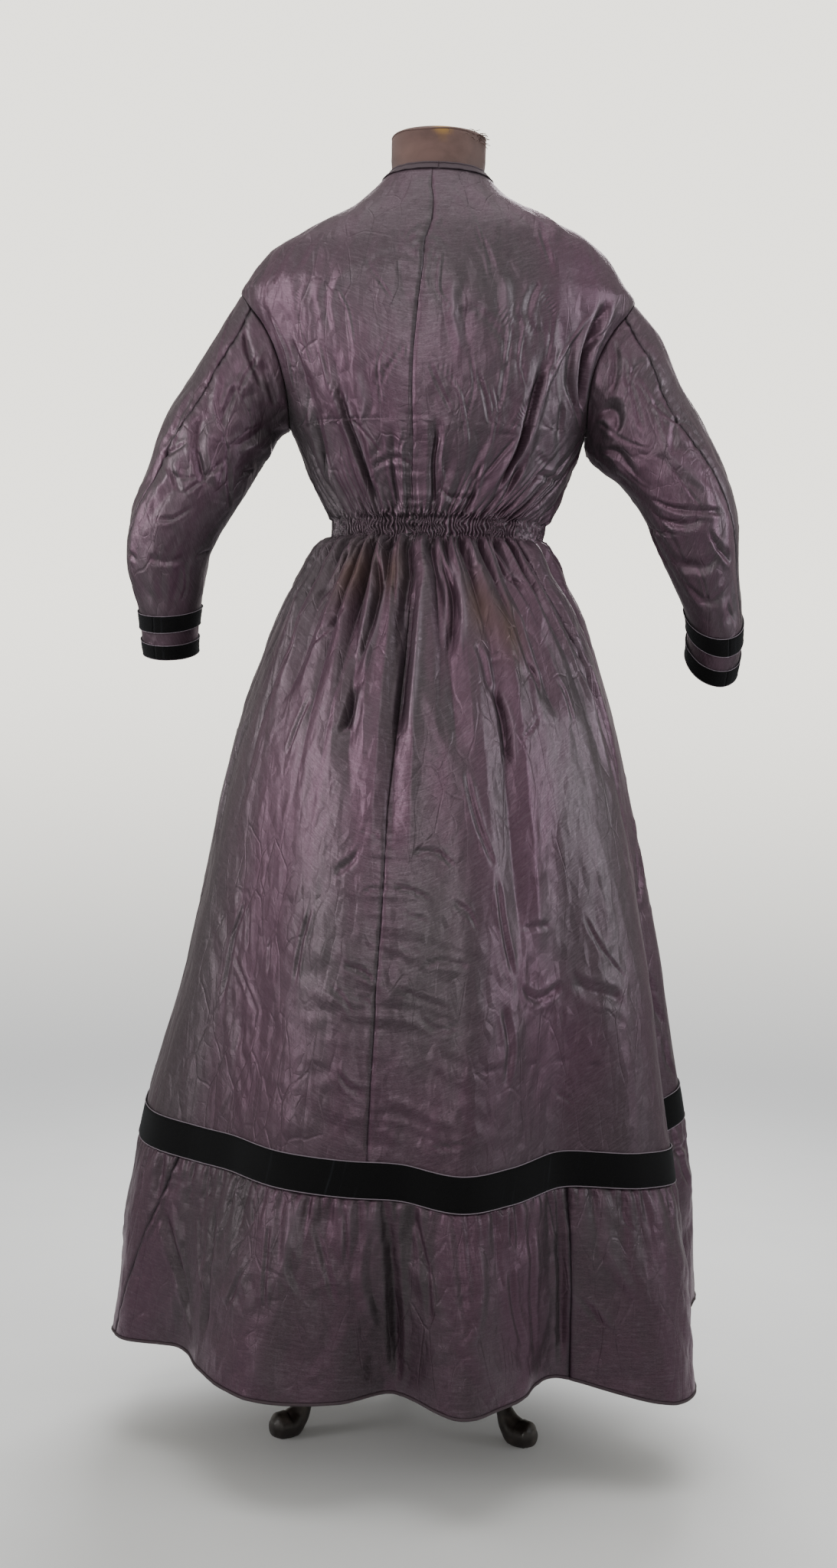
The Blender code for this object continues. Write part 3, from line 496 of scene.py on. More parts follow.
def ridges(share, count, seed, wander=0.45):
    """Rounded ridges with sharp valleys, -1 to 1: twice the size of a sine, less one. Slow waves
    widen some ridges and narrow others, each by less than a third of the mean width."""
    chance = np.random.default_rng(seed)
    phase = count * share
    for waves in (1.7, 3.3, 5.9):
        reach = 0.05 * wander * count / waves
        phase = phase + reach * np.sin(2 * math.pi * (waves * share + chance.uniform()))
    return 2 * np.abs(np.sin(math.pi * phase)) - 1


def gathers(share, level):
    """Height of the shirring, and its painted shade, darker in the valleys. share runs from 0 at
    the left side to 2 at the right, and it fades out just beyond both sides. Tight pleats between
    the two threads join into wider flutes above and below them."""
    threads = [place + 0.0016 * soft(share * 0.1, 0 * share, 8 + n, 0.012)
               for n, place in enumerate((SHIRRING_TOP, SHIRRING_END))]
    above = np.clip(level - threads[0], 0, None)
    below = np.clip(threads[1] - level, 0, None)
    away = above + below
    sway = 0.020 * soft(share * 0.1, level, 12, 0.012)
    fine = ridges(share + sway, FINE, 3, 0.7)
    middle = ridges(share + 0.10 * below, MIDDLE, 4, 0.7) * ease(away / 0.005)
    coarse = ridges(share + 0.05 * below, COARSE, 5, 0.7) * ease(away / 0.012)
    uneven = np.clip(1 + 0.75 * soft(share * 0.1, 0 * share, 6, 0.012), 0.25, 1.9)
    patchy = np.clip(1 + 0.80 * soft(share * 0.1, 0 * share, 7, 0.020), 0.15, 1.8)
    layers = (
        (fine, 0.0024 * np.exp(-(away / 0.009) ** 2)),
        (middle, (above > 0) * 0.0030 * np.exp(-above / (0.018 * uneven))
         + (below > 0) * 0.0030 * np.exp(-below / (0.016 * uneven))),
        (coarse, (above > 0) * 0.0034 * np.exp(-above / (0.040 * patchy))
         + (below > 0) * 0.0078 * np.exp(-(below / (0.085 * patchy)) ** 1.3)),
    )
    ends = ease((share + 0.45) * 5) * ease((2.45 - share) * 5)
    height = sum(wave * size for wave, size in layers) * ends
    # Painted shade in the valleys of each set of pleats
    dark = sum(np.clip(-0.25 - wave, 0, 0.75) / 0.75 * np.clip(size / 0.0024, 0, 1)
               for wave, size in layers) * ends
    thread = sum(np.exp(-((level - place) / 0.0015) ** 2) for place in threads)
    return height - 0.0010 * thread * ends, np.clip(dark, 0, 1)


print("pleats between the threads:", 2 * FINE)

# %% [markdown]
# ## Where the silk turns green-grey
#
# In the photograph the silk looks purple where it faces the light, and green-grey where it leans
# away. A material must not look at the camera, so the shift is painted on the cloth: broad zones
# placed by hand, streaks along the grain, and the lean of each small facet.

# %% Zones of colour
# Each row: angle, level, half angle, half level, tone (1 is purple, -1 green-grey)
ZONES = rows_of("""
    -80 0.75 14 0.34 -1.3; -66 0.5 10 0.16 -0.7; -44 0.66 13 0.22 0.9; -34 0.94 12 0.07 0.6;
    -27 0.56 9 0.09 -0.6; -15 0.74 6 0.1 0.7; -40 0.44 16 0.07 0.7; 2 0.8 8 0.1 0.3;
    4 0.6 10 0.1 -0.8; 5 0.93 6 0.06 0.7; 18 0.86 5 0.08 0.8; 30 0.72 6 0.14 0.8;
    40 0.76 10 0.22 -0.45; 30 0.6 6 0.08 -0.7; 28 0.56 8 0.04 0.8; 50 0.62 9 0.16 -0.6;
    34 0.48 14 0.05 0.9; 12 0.45 8 0.06 0.3; 58 0.84 10 0.16 -0.6; 74 0.6 10 0.3 0.6;
    -3 0.42 10 0.05 0.3; 0 1.33 26 0.09 -0.6; -56 1.28 14 0.06 0.9; 48 1.34 12 0.06 0.9;
    -70 1.14 12 0.08 -1.1; 50 1.21 8 0.06 -0.9; 64 1.12 14 0.07 -1; 8 1.25 9 0.05 0.7;
    -30 1.2 14 0.06 0.6; 20 1.1 10 0.04 0.5; -40 1.1 12 0.04 0.6; -12 1.16 9 0.04 0.2;
    84 1.3 12 0.06 -0.5; 120 0.8 18 0.2 0.8; 150 0.6 16 0.16 -0.9; 180 0.84 16 0.2 0.7;
    -150 0.6 16 0.18 0.8; -120 0.78 14 0.24 -0.9; -165 1.25 24 0.08 -0.6; 135 1.22 18 0.07 0.8;
    -130 1.18 14 0.07 0.7
""")


def zone_tone(angle, level):
    """Sum of oval bell curves, one for each zone."""
    total = np.zeros(np.broadcast(angle, level).shape)
    for place, height, half_angle, half_level, tone in ZONES:
        off = wrapped(angle - place) / half_angle
        total = total + tone * np.exp(-off ** 2 - ((level - height) / half_level) ** 2)
    return total


LEAN_TONE, LEAN_LIMIT = 2.4, 0.3


def lean_tone(heights, points):
    """Tone by the lean of each facet: its slope across the cloth, held between two limits."""
    steps = np.linalg.norm(np.gradient(points, axis=1), axis=-1)
    lean = np.gradient(heights, axis=1) / np.maximum(steps, 1e-5)
    return LEAN_TONE * np.clip(lean, -LEAN_LIMIT, LEAN_LIMIT)


def depth_shade(heights, strength, start, span):
    """Painted shade in the folds: a smooth step from start to start plus span below the surface."""
    return strength * ease(np.clip(-heights - start, 0, None) / span)


def seam_shade(distance, strength, width):
    """Dark line of a seam: a bell curve over the distance to it."""
    return strength * np.exp(-(distance / width) ** 2)


print("zones:", len(ZONES))

# %% [markdown]
# ## From a grid to a piece of cloth
#
# A Solidify modifier would thicken a grid, but it doubles every face. This wall keeps the fine grid
# outside and gives the inside one quarter of the faces, set back from the lowest point
# around it, so that the two never cross. A triangle strip closes the edge all round.

# %% Build a wall of cloth
CLOTHS = {}
TOTALS = {"triangles": 0}


def lowest_around(heights):
    """Each height replaced by the lowest of itself and its eight neighbours."""
    padded = np.pad(heights, 1, mode="edge")
    rows, columns = heights.shape
    parts = [padded[i:i + rows, j:j + columns] for i in range(3) for j in range(3)]
    return np.minimum.reduce(parts)


def edge_loop(rows, columns):
    """Vertex numbers round the edge of a grid, clockwise as seen from outside."""
    number = np.arange(rows * columns).reshape(rows, columns)
    return np.concatenate([number[0, :-1], number[:-1, -1], number[-1, :0:-1], number[:0:-1, 0]])


def quads(rows, columns):
    """Faces of a grid, anticlockwise as seen from outside."""
    number = np.arange(rows * columns).reshape(rows, columns)
    corners = (number[:-1, :-1], number[1:, :-1], number[1:, 1:], number[:-1, 1:])
    return np.stack([corner.ravel() for corner in corners], axis=-1)


def make_mesh(name, points, faces, material, uv=None, marks=None):
    """Put arrays into a mesh object that rides on the body, with a UV map and named marks."""
    mesh = bpy.data.meshes.new(name)
    mesh.from_pydata((points + PLACE).tolist(), [], faces)
    mesh.shade_smooth()
    if uv is not None:
        corners = np.empty(len(mesh.loops), np.int32)
        mesh.loops.foreach_get("vertex_index", corners)
        layer = mesh.uv_layers.new(name="cloth")
        layer.data.foreach_set("uv", uv[corners].astype(np.float32).ravel())
    for mark, values in (marks or {}).items():
        attribute = mesh.attributes.new(mark, "FLOAT", "POINT")
        attribute.data.foreach_set("value", np.asarray(values, np.float32).ravel())
    mesh.materials.append(material)
    piece = bpy.data.objects.new(name, mesh)
    bpy.context.scene.collection.objects.link(piece)
    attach(piece, "root")
    TOTALS["triangles"] += sum(len(face) - 2 for face in faces)
    return piece


def make_cloth(name, points, normals, heights, thickness, material, marks=None):
    """Close a grid of cloth into a wall. The outside is points plus heights along the normals."""
    turn = np.cross(points[1, 0] - points[0, 0], points[0, 1] - points[0, 0])
    if np.dot(turn, normals[0, 0]) < 0:
        points, normals, heights = points[:, ::-1], normals[:, ::-1], heights[:, ::-1]
        marks = {mark: values[:, ::-1] for mark, values in (marks or {}).items()}
    outer = points + normals * heights[..., None]
    set_back = (lowest_around(heights) - thickness)[::2, ::2]
    inner = points[::2, ::2] + normals[::2, ::2] * set_back[..., None]
    rows, columns = heights.shape
    offset = rows * columns
    loop = edge_loop(rows, columns)
    inner_loop = edge_loop(*inner.shape[:2]) + offset
    first, second, third = loop[0::2], loop[1::2], np.roll(loop[0::2], -1)
    near, far = inner_loop, np.roll(inner_loop, -1)
    strip = np.concatenate([np.stack([first, second, near], -1), np.stack([second, far, near], -1),
                            np.stack([second, third, far], -1)])
    faces = quads(rows, columns).tolist()
    faces += (quads(*inner.shape[:2])[:, ::-1] + offset).tolist() + strip.tolist()
    across = np.zeros((rows, columns))
    down = np.zeros((rows, columns))
    across[:, 1:] = np.cumsum(np.linalg.norm(np.diff(points, axis=1), axis=-1), axis=1)
    down[1:] = np.cumsum(np.linalg.norm(np.diff(points, axis=0), axis=-1), axis=0)
    uv = np.stack([across, -down], axis=-1)
    uv = np.concatenate([uv.reshape(-1, 2), uv[::2, ::2].reshape(-1, 2)])
    both = {mark: np.concatenate([values.ravel(), values[::2, ::2].ravel()])
            for mark, values in (marks or {}).items()}
    everything = np.concatenate([outer.reshape(-1, 3), inner.reshape(-1, 3)])
    piece = make_mesh(name, everything, faces, material, uv, both)
    CLOTHS[name] = (outer, normals)
    steps = np.cross(np.diff(outer, axis=0)[:, :-1], np.diff(outer, axis=1)[:-1])
    area = np.linalg.norm(steps, axis=-1).sum()
    print(f"{name}: {len(faces)} faces, area {area:.3f} square metres, "
          f"widest {across[:, -1].max():.3f} m, longest {down[-1].max():.3f} m")
    return piece


# %% [markdown]
# ## Materials
#
# Each finish is a Principled shader fed by procedural textures. Weave and pile follow the cloth's
# own UV map, which is in metres, so that a thread is as thick on the sleeve as on the skirt.
# Stains and cloudy wear follow Object coordinates, which run on from piece to piece.

# %% A small kit for shader nodes


class Nodes:
    """A node tree with short ways to add nodes and join them."""

    def __init__(self, tree):
        self.tree = tree

    def add(self, kind, inputs=None, **settings):
        """Add a node, set its settings, and give its inputs a value or join them to a socket."""
        node = self.tree.nodes.new(kind)
        for name, value in settings.items():
            setattr(node, name, value)
        for name, value in (inputs or {}).items():
            self.put(node.inputs[name], value)
        return node

    def put(self, socket, value):
        """Join a socket to an output, or set its value."""
        if isinstance(value, bpy.types.NodeSocket):
            self.tree.links.new(value, socket)
        else:
            socket.default_value = value


class Finish(Nodes):
    """A material: a Principled shader, and textures to feed it."""

    def __init__(self, name, color, roughness):
        self.material = bpy.data.materials.new(name)
        self.material.use_nodes = True
        super().__init__(self.material.node_tree)
        self.shader = self.tree.nodes["Principled BSDF"]
        self.surface({"Base Color": (*color, 1.0), "Roughness": roughness})
        self.material.diffuse_color = (*color, 1.0)

    def surface(self, inputs):
        """Set or join several inputs of the Principled shader."""
        for name, value in inputs.items():
            self.put(self.shader.inputs[name], value)

    def coordinates(self, source, scale):
        """Object or UV coordinates, stretched by a scale for each axis."""
        texture = self.add("ShaderNodeTexCoord")
        return self.add("ShaderNodeMapping", {"Vector": texture.outputs[source],
                                              "Scale": scale}).outputs["Vector"]

    def noise(self, source, scale, detail=3.0, distortion=0.0):
        """Noise texture on stretched coordinates."""
        node = self.add("ShaderNodeTexNoise", {
            "Vector": self.coordinates(source, scale), "Scale": 1.0, "Detail": detail,
            "Distortion": distortion})
        return node.outputs["Fac"]

    def ramp(self, value, low, high, start=0.0, end=1.0):
        """Stretch a value from low..high to start..end, smoothly and clamped."""
        node = self.add("ShaderNodeMapRange", {"Value": value, "From Min": low, "From Max": high,
                                               "To Min": start, "To Max": end},
                        interpolation_type="SMOOTHSTEP")
        return node.outputs["Result"]

    def cells(self, scale):
        """Random cells: the distance to their borders, and a number from -1 to 1 for each."""
        place = self.coordinates("Object", scale)
        bend = self.add("ShaderNodeTexNoise", {"Vector": place, "Scale": 0.8, "Detail": 1.0})
        place = self.add("ShaderNodeVectorMath", {
            0: bend.outputs["Color"], 1: (0.5, 0.5, 0.5), 2: place},
            operation="MULTIPLY_ADD").outputs["Vector"]
        cell = self.add("ShaderNodeTexVoronoi", {"Vector": place, "Scale": 1.0})
        border = self.add("ShaderNodeTexVoronoi", {"Vector": place, "Scale": 1.0},
                          feature="DISTANCE_TO_EDGE")
        red = self.add("ShaderNodeSeparateColor", {"Color": cell.outputs["Color"]}).outputs["Red"]
        chance = self.add("ShaderNodeMapRange", {"Value": red, "To Min": -1.0, "To Max": 1.0})
        return border.outputs["Distance"], chance.outputs["Result"]

    def maths(self, operation, first, second):
        """One sum or product of two values."""
        node = self.add("ShaderNodeMath", operation=operation)
        self.put(node.inputs[0], first)
        self.put(node.inputs[1], second)
        return node.outputs[0]

    def blend(self, factor, first, second):
        """Mix two colours."""
        node = self.add("ShaderNodeMix", data_type="RGBA")
        self.put(node.inputs["Factor"], factor)
        for socket, color in zip(node.inputs[6:8], (first, second)):
            self.put(socket, color if isinstance(color, bpy.types.NodeSocket) else (*color, 1.0))
        return node.outputs[2]

    def mark(self, name):
        """A value painted on the mesh under that name."""
        return self.add("ShaderNodeAttribute", attribute_name=name).outputs["Fac"]

    def bump(self, layers):
        """Chain bump nodes: (height socket, distance in metres) for each layer."""
        normal = None
        for height, distance in layers:
            inputs = {"Height": height, "Distance": distance, "Strength": 1.0}
            if normal is not None:
                inputs["Normal"] = normal
            normal = self.add("ShaderNodeBump", inputs).outputs["Normal"]
        self.surface({"Normal": normal})


print("finish kit ready")

# %% [markdown]
# ### Shot silk taffeta
#
# The weave is a plain one with fine crosswise ribs and slubs. Base colour mixes green-grey and
# purple by the painted tone. A partly metallic surface with a tinted highlight, and a soft
# grey-green sheen, give the shimmer. Facets too small for the grid are bumps round random
# cells. Raised ridges are painted paler, brown stains sit below the waist as on the real dress,
# and painted shade darkens the folds, the seams and the skirt towards its hem.

# %% Silk
PURPLE, GREEN_GREY = (0.092, 0.050, 0.075), (0.062, 0.056, 0.060)
PALE_SILK, STAIN = (0.170, 0.135, 0.165), (0.075, 0.046, 0.036)
# The last colour here is painted shade, multiplied into the folds
GRAIN_DARK, FLECK_DARK, PAINTED_FOLD_SHADE = (0.026, 0.017, 0.024), (0.026, 0.018, 0.024), (0.30, 0.28, 0.32)


def make_silk():
    """Shot silk: colour by painted tone, streaked along the grain; ribs and slubs as bump."""
    silk = Finish("shot_silk", PURPLE, 0.40)
    streaks = silk.noise("Object", (26.0, 26.0, 3.0), 2.0, 0.4)
    clouds = silk.noise("Object", (5.0, 5.0, 5.0), 3.0)
    slubs = silk.noise("UV", (22.0, 620.0, 1.0), 3.0)
    ribs = silk.noise("UV", (180.0, 2100.0, 1.0), 1.0)
    warp = silk.noise("UV", (2300.0, 160.0, 1.0), 1.0)
    grain = silk.noise("UV", (420.0, 1300.0, 1.0), 2.0)
    fleck = silk.noise("UV", (110.0, 380.0, 1.0), 4.0)
    crinkle = silk.add("ShaderNodeTexNoise", {
        "Vector": silk.coordinates("Object", (46.0, 46.0, 30.0)), "Scale": 1.0, "Detail": 3.0,
        "Roughness": 0.45, "Distortion": 0.4}, noise_type="RIDGED_MULTIFRACTAL").outputs["Fac"]
    tone = silk.maths("ADD", silk.mark("tone"), silk.ramp(streaks, 0.3, 0.7, -0.22, 0.22))
    tone = silk.maths("ADD", tone, silk.ramp(clouds, 0.3, 0.7, -0.22, 0.22))
    color = silk.blend(silk.ramp(tone, -1.3, 1.3), GREEN_GREY, PURPLE)
    color = silk.blend(silk.ramp(slubs, 0.45, 0.80, 0.0, 0.22), color, PALE_SILK)
    color = silk.blend(silk.ramp(grain, 0.30, 0.75, 0.0, 0.45), color, GRAIN_DARK)
    color = silk.blend(silk.ramp(fleck, 0.48, 0.74, 0.0, 0.34), color, FLECK_DARK)
    color = silk.blend(silk.ramp(fleck, 0.46, 0.28, 0.0, 0.20), color, PALE_SILK)
    color = silk.blend(silk.mark("stain"), color, STAIN)
    color = silk.blend(silk.mark("raised_pale"), color, PALE_SILK)
    # Painted shade: the deep mark multiplies the colour darker in folds, valleys, seams and towards
    # the hem
    shade = silk.add("ShaderNodeMix", {"Factor": silk.mark("deep")}, data_type="RGBA",
                     blend_type="MULTIPLY")
    silk.put(shade.inputs[6], color)
    silk.put(shade.inputs[7], (*PAINTED_FOLD_SHADE, 1.0))
    silk.surface({
        "Base Color": shade.outputs[2], "Roughness": silk.ramp(grain, 0.25, 0.75, 0.37, 0.53),
        "Metallic": 0.58, "Specular IOR Level": 0.40, "Specular Tint": (1.0, 0.85, 0.96, 1.0),
        "Sheen Weight": 0.07, "Sheen Roughness": 0.30, "Sheen Tint": (0.80, 0.86, 0.84, 1.0)})
    patch = silk.ramp(silk.noise("Object", (9.0, 9.0, 6.0), 1.0), 0.40, 0.62)
    layers = []
    for scale, distance in (((38.0, 38.0, 13.0), 0.0030), ((84.0, 84.0, 42.0), 0.0017)):
        border, chance = silk.cells(scale)
        layers.append((silk.maths("MULTIPLY", border, chance), distance))
        line = silk.maths("MULTIPLY", silk.ramp(border, 0.0, 0.045, -1.0, 0.0), patch)
        layers.append((line, 4.6 * distance / scale[0]))
    silk.bump((*layers, (crinkle, 0.0004), (slubs, 0.00007), (ribs, 0.00005), (warp, 0.00005)))
    return silk.material


SILK = make_silk()
print("silk:", SILK.name)

# %% [markdown]
# ### Velvet, threads, form cloth and iron
#
# Velvet pile drinks the light and only glints where it was pressed. The form's neck is covered
# in worn brown cloth with a rubbed mustard spot on top. The stand is dark, slightly glossy paint.

# %% Velvet
BLACK_PILE, PRESSED_PILE = (0.0026, 0.0026, 0.0030), (0.018, 0.020, 0.024)


def make_velvet():
    """Black pile: two dark tones by painted pressing and fine noise, a rough surface, a sheen."""
    velvet = Finish("velvet_pile", BLACK_PILE, 0.95)
    pressed = velvet.noise("UV", (160.0, 9.0, 1.0), 3.0, 0.3)
    pressed = velvet.maths("MULTIPLY", velvet.ramp(pressed, 0.58, 0.82), velvet.mark("press"))
    color = velvet.blend(pressed, BLACK_PILE, PRESSED_PILE)
    velvet.surface({"Base Color": color, "Specular IOR Level": 0.12, "Sheen Weight": 0.06,
                    "Sheen Roughness": 0.5, "Sheen Tint": (0.5, 0.55, 0.62, 1.0)})
    velvet.bump(((velvet.noise("UV", (900.0, 900.0, 1.0), 2.0), 0.0005),))
    return velvet.material


VELVET_PILE = make_velvet()
print("velvet:", VELVET_PILE.name)

# %% Threads, selvedge and binding


def make_thread(name, color, twist):
    """Spun thread: a darker and a lighter tone in fine noise, rough, with a slight bump."""
    thread = Finish(name, color, 0.7)
    fibres = thread.noise("Object", (twist, twist, twist), 2.0)
    lighter = tuple(min(1.0, 1.7 * part) for part in color)
    thread.surface({"Base Color": thread.blend(fibres, color, lighter)})
    thread.bump(((fibres, 0.0002),))
    return thread.material


THREAD = make_thread("sewing_thread", (0.012, 0.008, 0.012), 1500.0)
SELVEDGE = make_thread("selvedge", (0.110, 0.090, 0.112), 900.0)
BINDING = make_thread("binding_silk", (0.024, 0.014, 0.020), 700.0)
BUTTON_SILK = make_thread("button_silk", (0.022, 0.013, 0.021), 1100.0)
print("threads:", THREAD.name, SELVEDGE.name, BINDING.name)

# %% Form cloth and stand
FORM_BROWN, FORM_DARK, MUSTARD = (0.135, 0.082, 0.072), (0.075, 0.044, 0.040), (0.30, 0.17, 0.045)


def make_form_cloth():
    """Worn twill: a diagonal weave as bump, cloudy soiling, and the painted rubbed spot."""
    cloth = Finish("worn_form_cloth", FORM_BROWN, 0.85)
    clouds = cloth.noise("Object", (22.0, 22.0, 30.0), 4.0, 0.3)
    weave = cloth.add("ShaderNodeTexWave", {
        "Vector": cloth.coordinates("Object", (700.0, 700.0, 1000.0)), "Scale": 1.0,
        "Distortion": 1.5, "Detail": 1.0}, bands_direction="DIAGONAL").outputs["Fac"]
    color = cloth.blend(cloth.ramp(clouds, 0.3, 0.7), FORM_DARK, FORM_BROWN)
    color = cloth.blend(cloth.mark("worn"), color, MUSTARD)
    # Painted shade on the neck just above the dress's binding, where the two meet
    color = cloth.blend(cloth.mark("neck_edge_shade"), color, (0.03, 0.02, 0.02))
    cloth.surface({"Base Color": color, "Sheen Weight": 0.12, "Specular IOR Level": 0.25})
    cloth.bump(((clouds, 0.0006), (weave, 0.00012)))
    return cloth.material


def make_iron():
    """Dark brown paint on iron: chips of tone, dusty roughness and a slight orange-peel bump."""
    iron = Finish("painted_iron", (0.016, 0.011, 0.010), 0.35)
    dust = iron.noise("Object", (60.0, 60.0, 60.0), 4.0)
    peel = iron.noise("Object", (260.0, 260.0, 260.0), 2.0)
    color = iron.blend(iron.ramp(dust, 0.45, 0.8), (0.014, 0.010, 0.009), (0.060, 0.048, 0.042))
    iron.surface({"Base Color": color, "Roughness": iron.ramp(dust, 0.3, 0.7, 0.28, 0.55)})
    iron.bump(((peel, 0.0003),))
    return iron.material


FORM_CLOTH, IRON = make_form_cloth(), make_iron()
print("form and stand:", FORM_CLOTH.name, IRON.name)

# %% [markdown]
# ## The four long panels
#
# Each back half and each front is one length of silk from the neckline to the hem ribbon. Their
# edges follow the seams and the armholes. Rows of the grid crowd together at the shirring,
# where the folds are smallest.

# %% Edges and rows of a panel
ROWS = (  # from level, to level, steps
    (NECK_LEVEL, 1.315, 30), (1.160, 1.066, 30), (1.066, 1.026, 26), (1.026, 0.900, 44),
    (0.900, SKIRT_END, 150),
)
ARMHOLE_STEPS = 40
BACK_COLUMNS, FRONT_COLUMNS = 212, 150


def panel_levels(share_of_rows):
    """Levels of a panel's rows: even steps in each zone, and steps by cosine in the armhole,
    where the edge turns fastest at its top and bottom."""
    parts = [np.linspace(top, end, steps // share_of_rows + 1)[:-1] for top, end, steps in ROWS]
    turn = np.linspace(0, math.pi, ARMHOLE_STEPS // share_of_rows + 1)[:-1]
    parts.insert(1, ARMHOLE_LEVEL + ARMHOLE_HALF * np.cos(turn))
    return np.concatenate(parts + [[SKIRT_END]])


def armhole_reach(level, reach):
    """Degrees from the side to the armhole's edge: the reach times an ellipse."""
    share = np.clip((level - ARMHOLE_LEVEL) / ARMHOLE_HALF, -1.0, 1.0)
    return reach * np.sqrt(1 - share * share)


def panel_edges(levels, piece):
    """Angles of both edges of a panel at each level, half a seam's gap in from the seams."""
    left, middle, right = (np.interp(levels, SEAMS["level"], SEAMS[name])
                           for name in ("left_side", "centre_back", "right_side"))
    back, front = armhole_reach(levels, ARMHOLE_BACK), armhole_reach(levels, ARMHOLE_FRONT)
    start, end = {
        "back_left": (left + back, middle),
        "back_right": (middle, right - back),
        "front_right": (right + front, np.full(len(levels), 180.0)),
        "front_left": (np.full(len(levels), 180.0), 360 + left - front),
    }[piece]
    clear = GAP / 2 / per_degree(0.0, levels)
    return start + clear, end - clear


print("rows of a back panel:", len(panel_levels(1)))

# %% [markdown]
# A seam in light silk draws up a little. Right beside it the cloth dips, and small ripples cross
# it for a finger's breadth. That is added by the distance to each edge of the panel.

# %% Seams that pucker


def pucker(distance, along, seed, dip=0.0013, ripple=0.0007, reach=0.014):
    """A narrow dip at a seam, and ripples across it that die away with distance."""
    chance = np.random.default_rng(seed)
    waves = 0.0
    for pitch in (0.0085, 0.013, 0.021, 0.034):
        waves = waves + np.sin(2 * math.pi * (along / pitch + chance.uniform()
                                              + 0.6 * np.sin(along * chance.uniform(20, 45))))
    strength = 0.4 + 0.6 * ease(0.5 + np.sin(along * 17 + seed) * 0.6)
    fade = np.exp(-distance / reach)
    return (ripple * strength * waves / 1.8 * fade - dip * np.exp(-(distance / 0.0022) ** 2))


def quiet(level, band):
    """1 on open cloth, 0 under the neck binding and under the hem ribbon."""
    return ease((BINDING_LEVEL - 0.002 - level) / 0.015) * ease((level - BAND_TOP - 0.003) / band)


def panel_heights(piece, angle, level, share):
    """All the relief of a panel: long folds, placed creases, gathers, crumples and seams."""
    turned = wrapped(angle)
    arc = np.radians(turned) * 0.5 * (oval("half_width", level) + oval("back_depth", level))
    back = piece.startswith("back")
    heights = crease_heights(turned, level, FOLDS + BODICE + SKIRT, per_degree, 1.0)
    heights = heights + crease_heights(turned, level, PRESSED, per_degree, 1.0)
    if not back:
        heights = heights + crease_heights(angle % 360, level, HIDDEN, per_degree, 1.0)
    skirt = ease((1.0 - level) / 0.12)
    low = ease((0.72 - level) / 0.2)
    tall = crumple(arc, level, 21, 0.032, 2.4, 0.16)
    small = crumple(arc, level, 26, 0.016, 2.2, -0.35)
    wide = crumple(arc, level, 31, 0.022, 2.6, 1.35)
    tiny = crumple(arc, level, 36, 0.008, 1.5, 0.5)
    busy = np.clip(0.75 + 0.55 * soft(arc, level, 25, 0.16), 0.1, 1.4)
    calm = np.clip(0.75 + 0.55 * soft(arc, level, 27, 0.12), 0.1, 1.4)
    heights = heights + 0.20 * tall * (1.0 - 0.45 * skirt) * busy
    heights = heights + 0.16 * small * (1.0 - 0.45 * skirt) * calm + 0.04 * tiny
    near_seam = np.exp(-(wrapped(turned - np.interp(level, SEAMS["level"], SEAMS["centre_back"]))
                         / 22.0) ** 2)
    heights = heights + 0.26 * wide * (0.15 + 0.85 * low) * near_seam * skirt
    first = {"back_left": 0, "back_right": 1, "front_right": 2, "front_left": -1}[piece]
    shirring, dark = gathers(share + first, level)
    return (heights + shirring) * quiet(level, 0.020), dark


def panel_marks(piece, angle, level, heights, points, dark):
    """Paint for the silk: tone by zone and by the lean of each facet, paler raised ridges, painted
    shade in the folds, pressed lines and lower skirt, and brown stains under the waist."""
    tone = zone_tone(angle, level) + lean_tone(heights, points)
    turned = wrapped(angle)
    lines = crease_heights(turned, level, PRESSED, per_degree, 1.0)
    press = np.clip(-lines / 0.0008, 0, 1)
    ridge = crease_heights(turned, level, BODICE + SKIRT, per_degree, 1.0)
    # Paler on the raised sides of the placed creases
    raised_pale = 0.35 * np.clip(ridge / 0.0022, 0, 1) ** 2
    # Painted shade: darker in deep folds, shirring valleys and seams, and darker towards the hem
    deep = np.maximum(depth_shade(heights, 0.55, 0.0025, 0.010), 0.40 * dark)
    deep = deep + 0.20 * ease((0.66 - level) / 0.30)
    stain = 0.0
    for place, height, half_angle, half_level in STAINS:
        off = ((turned - place) / half_angle) ** 2 + ((level - height) / half_level) ** 2
        stain = stain + 0.7 * np.exp(-off)
    return {"tone": tone, "raised_pale": raised_pale * (press < 0.5),
            "deep": np.clip(np.maximum(deep, 0.5 * press), 0, 1),
            "stain": np.clip(stain + 0 * level, 0, 1)}


STAINS = ((-34, 0.99, 8, 0.028), (-17, 0.99, 5, 0.025), (18, 0.955, 5, 0.03), (28, 0.93, 5, 0.03))
print("stains:", len(STAINS))

# %% Sew the panels
# Width and length of each cut before gathering, and its area
FLAT = {"back": (0.52, 1.34, 0.42), "front": (0.54, 1.36, 0.40)}


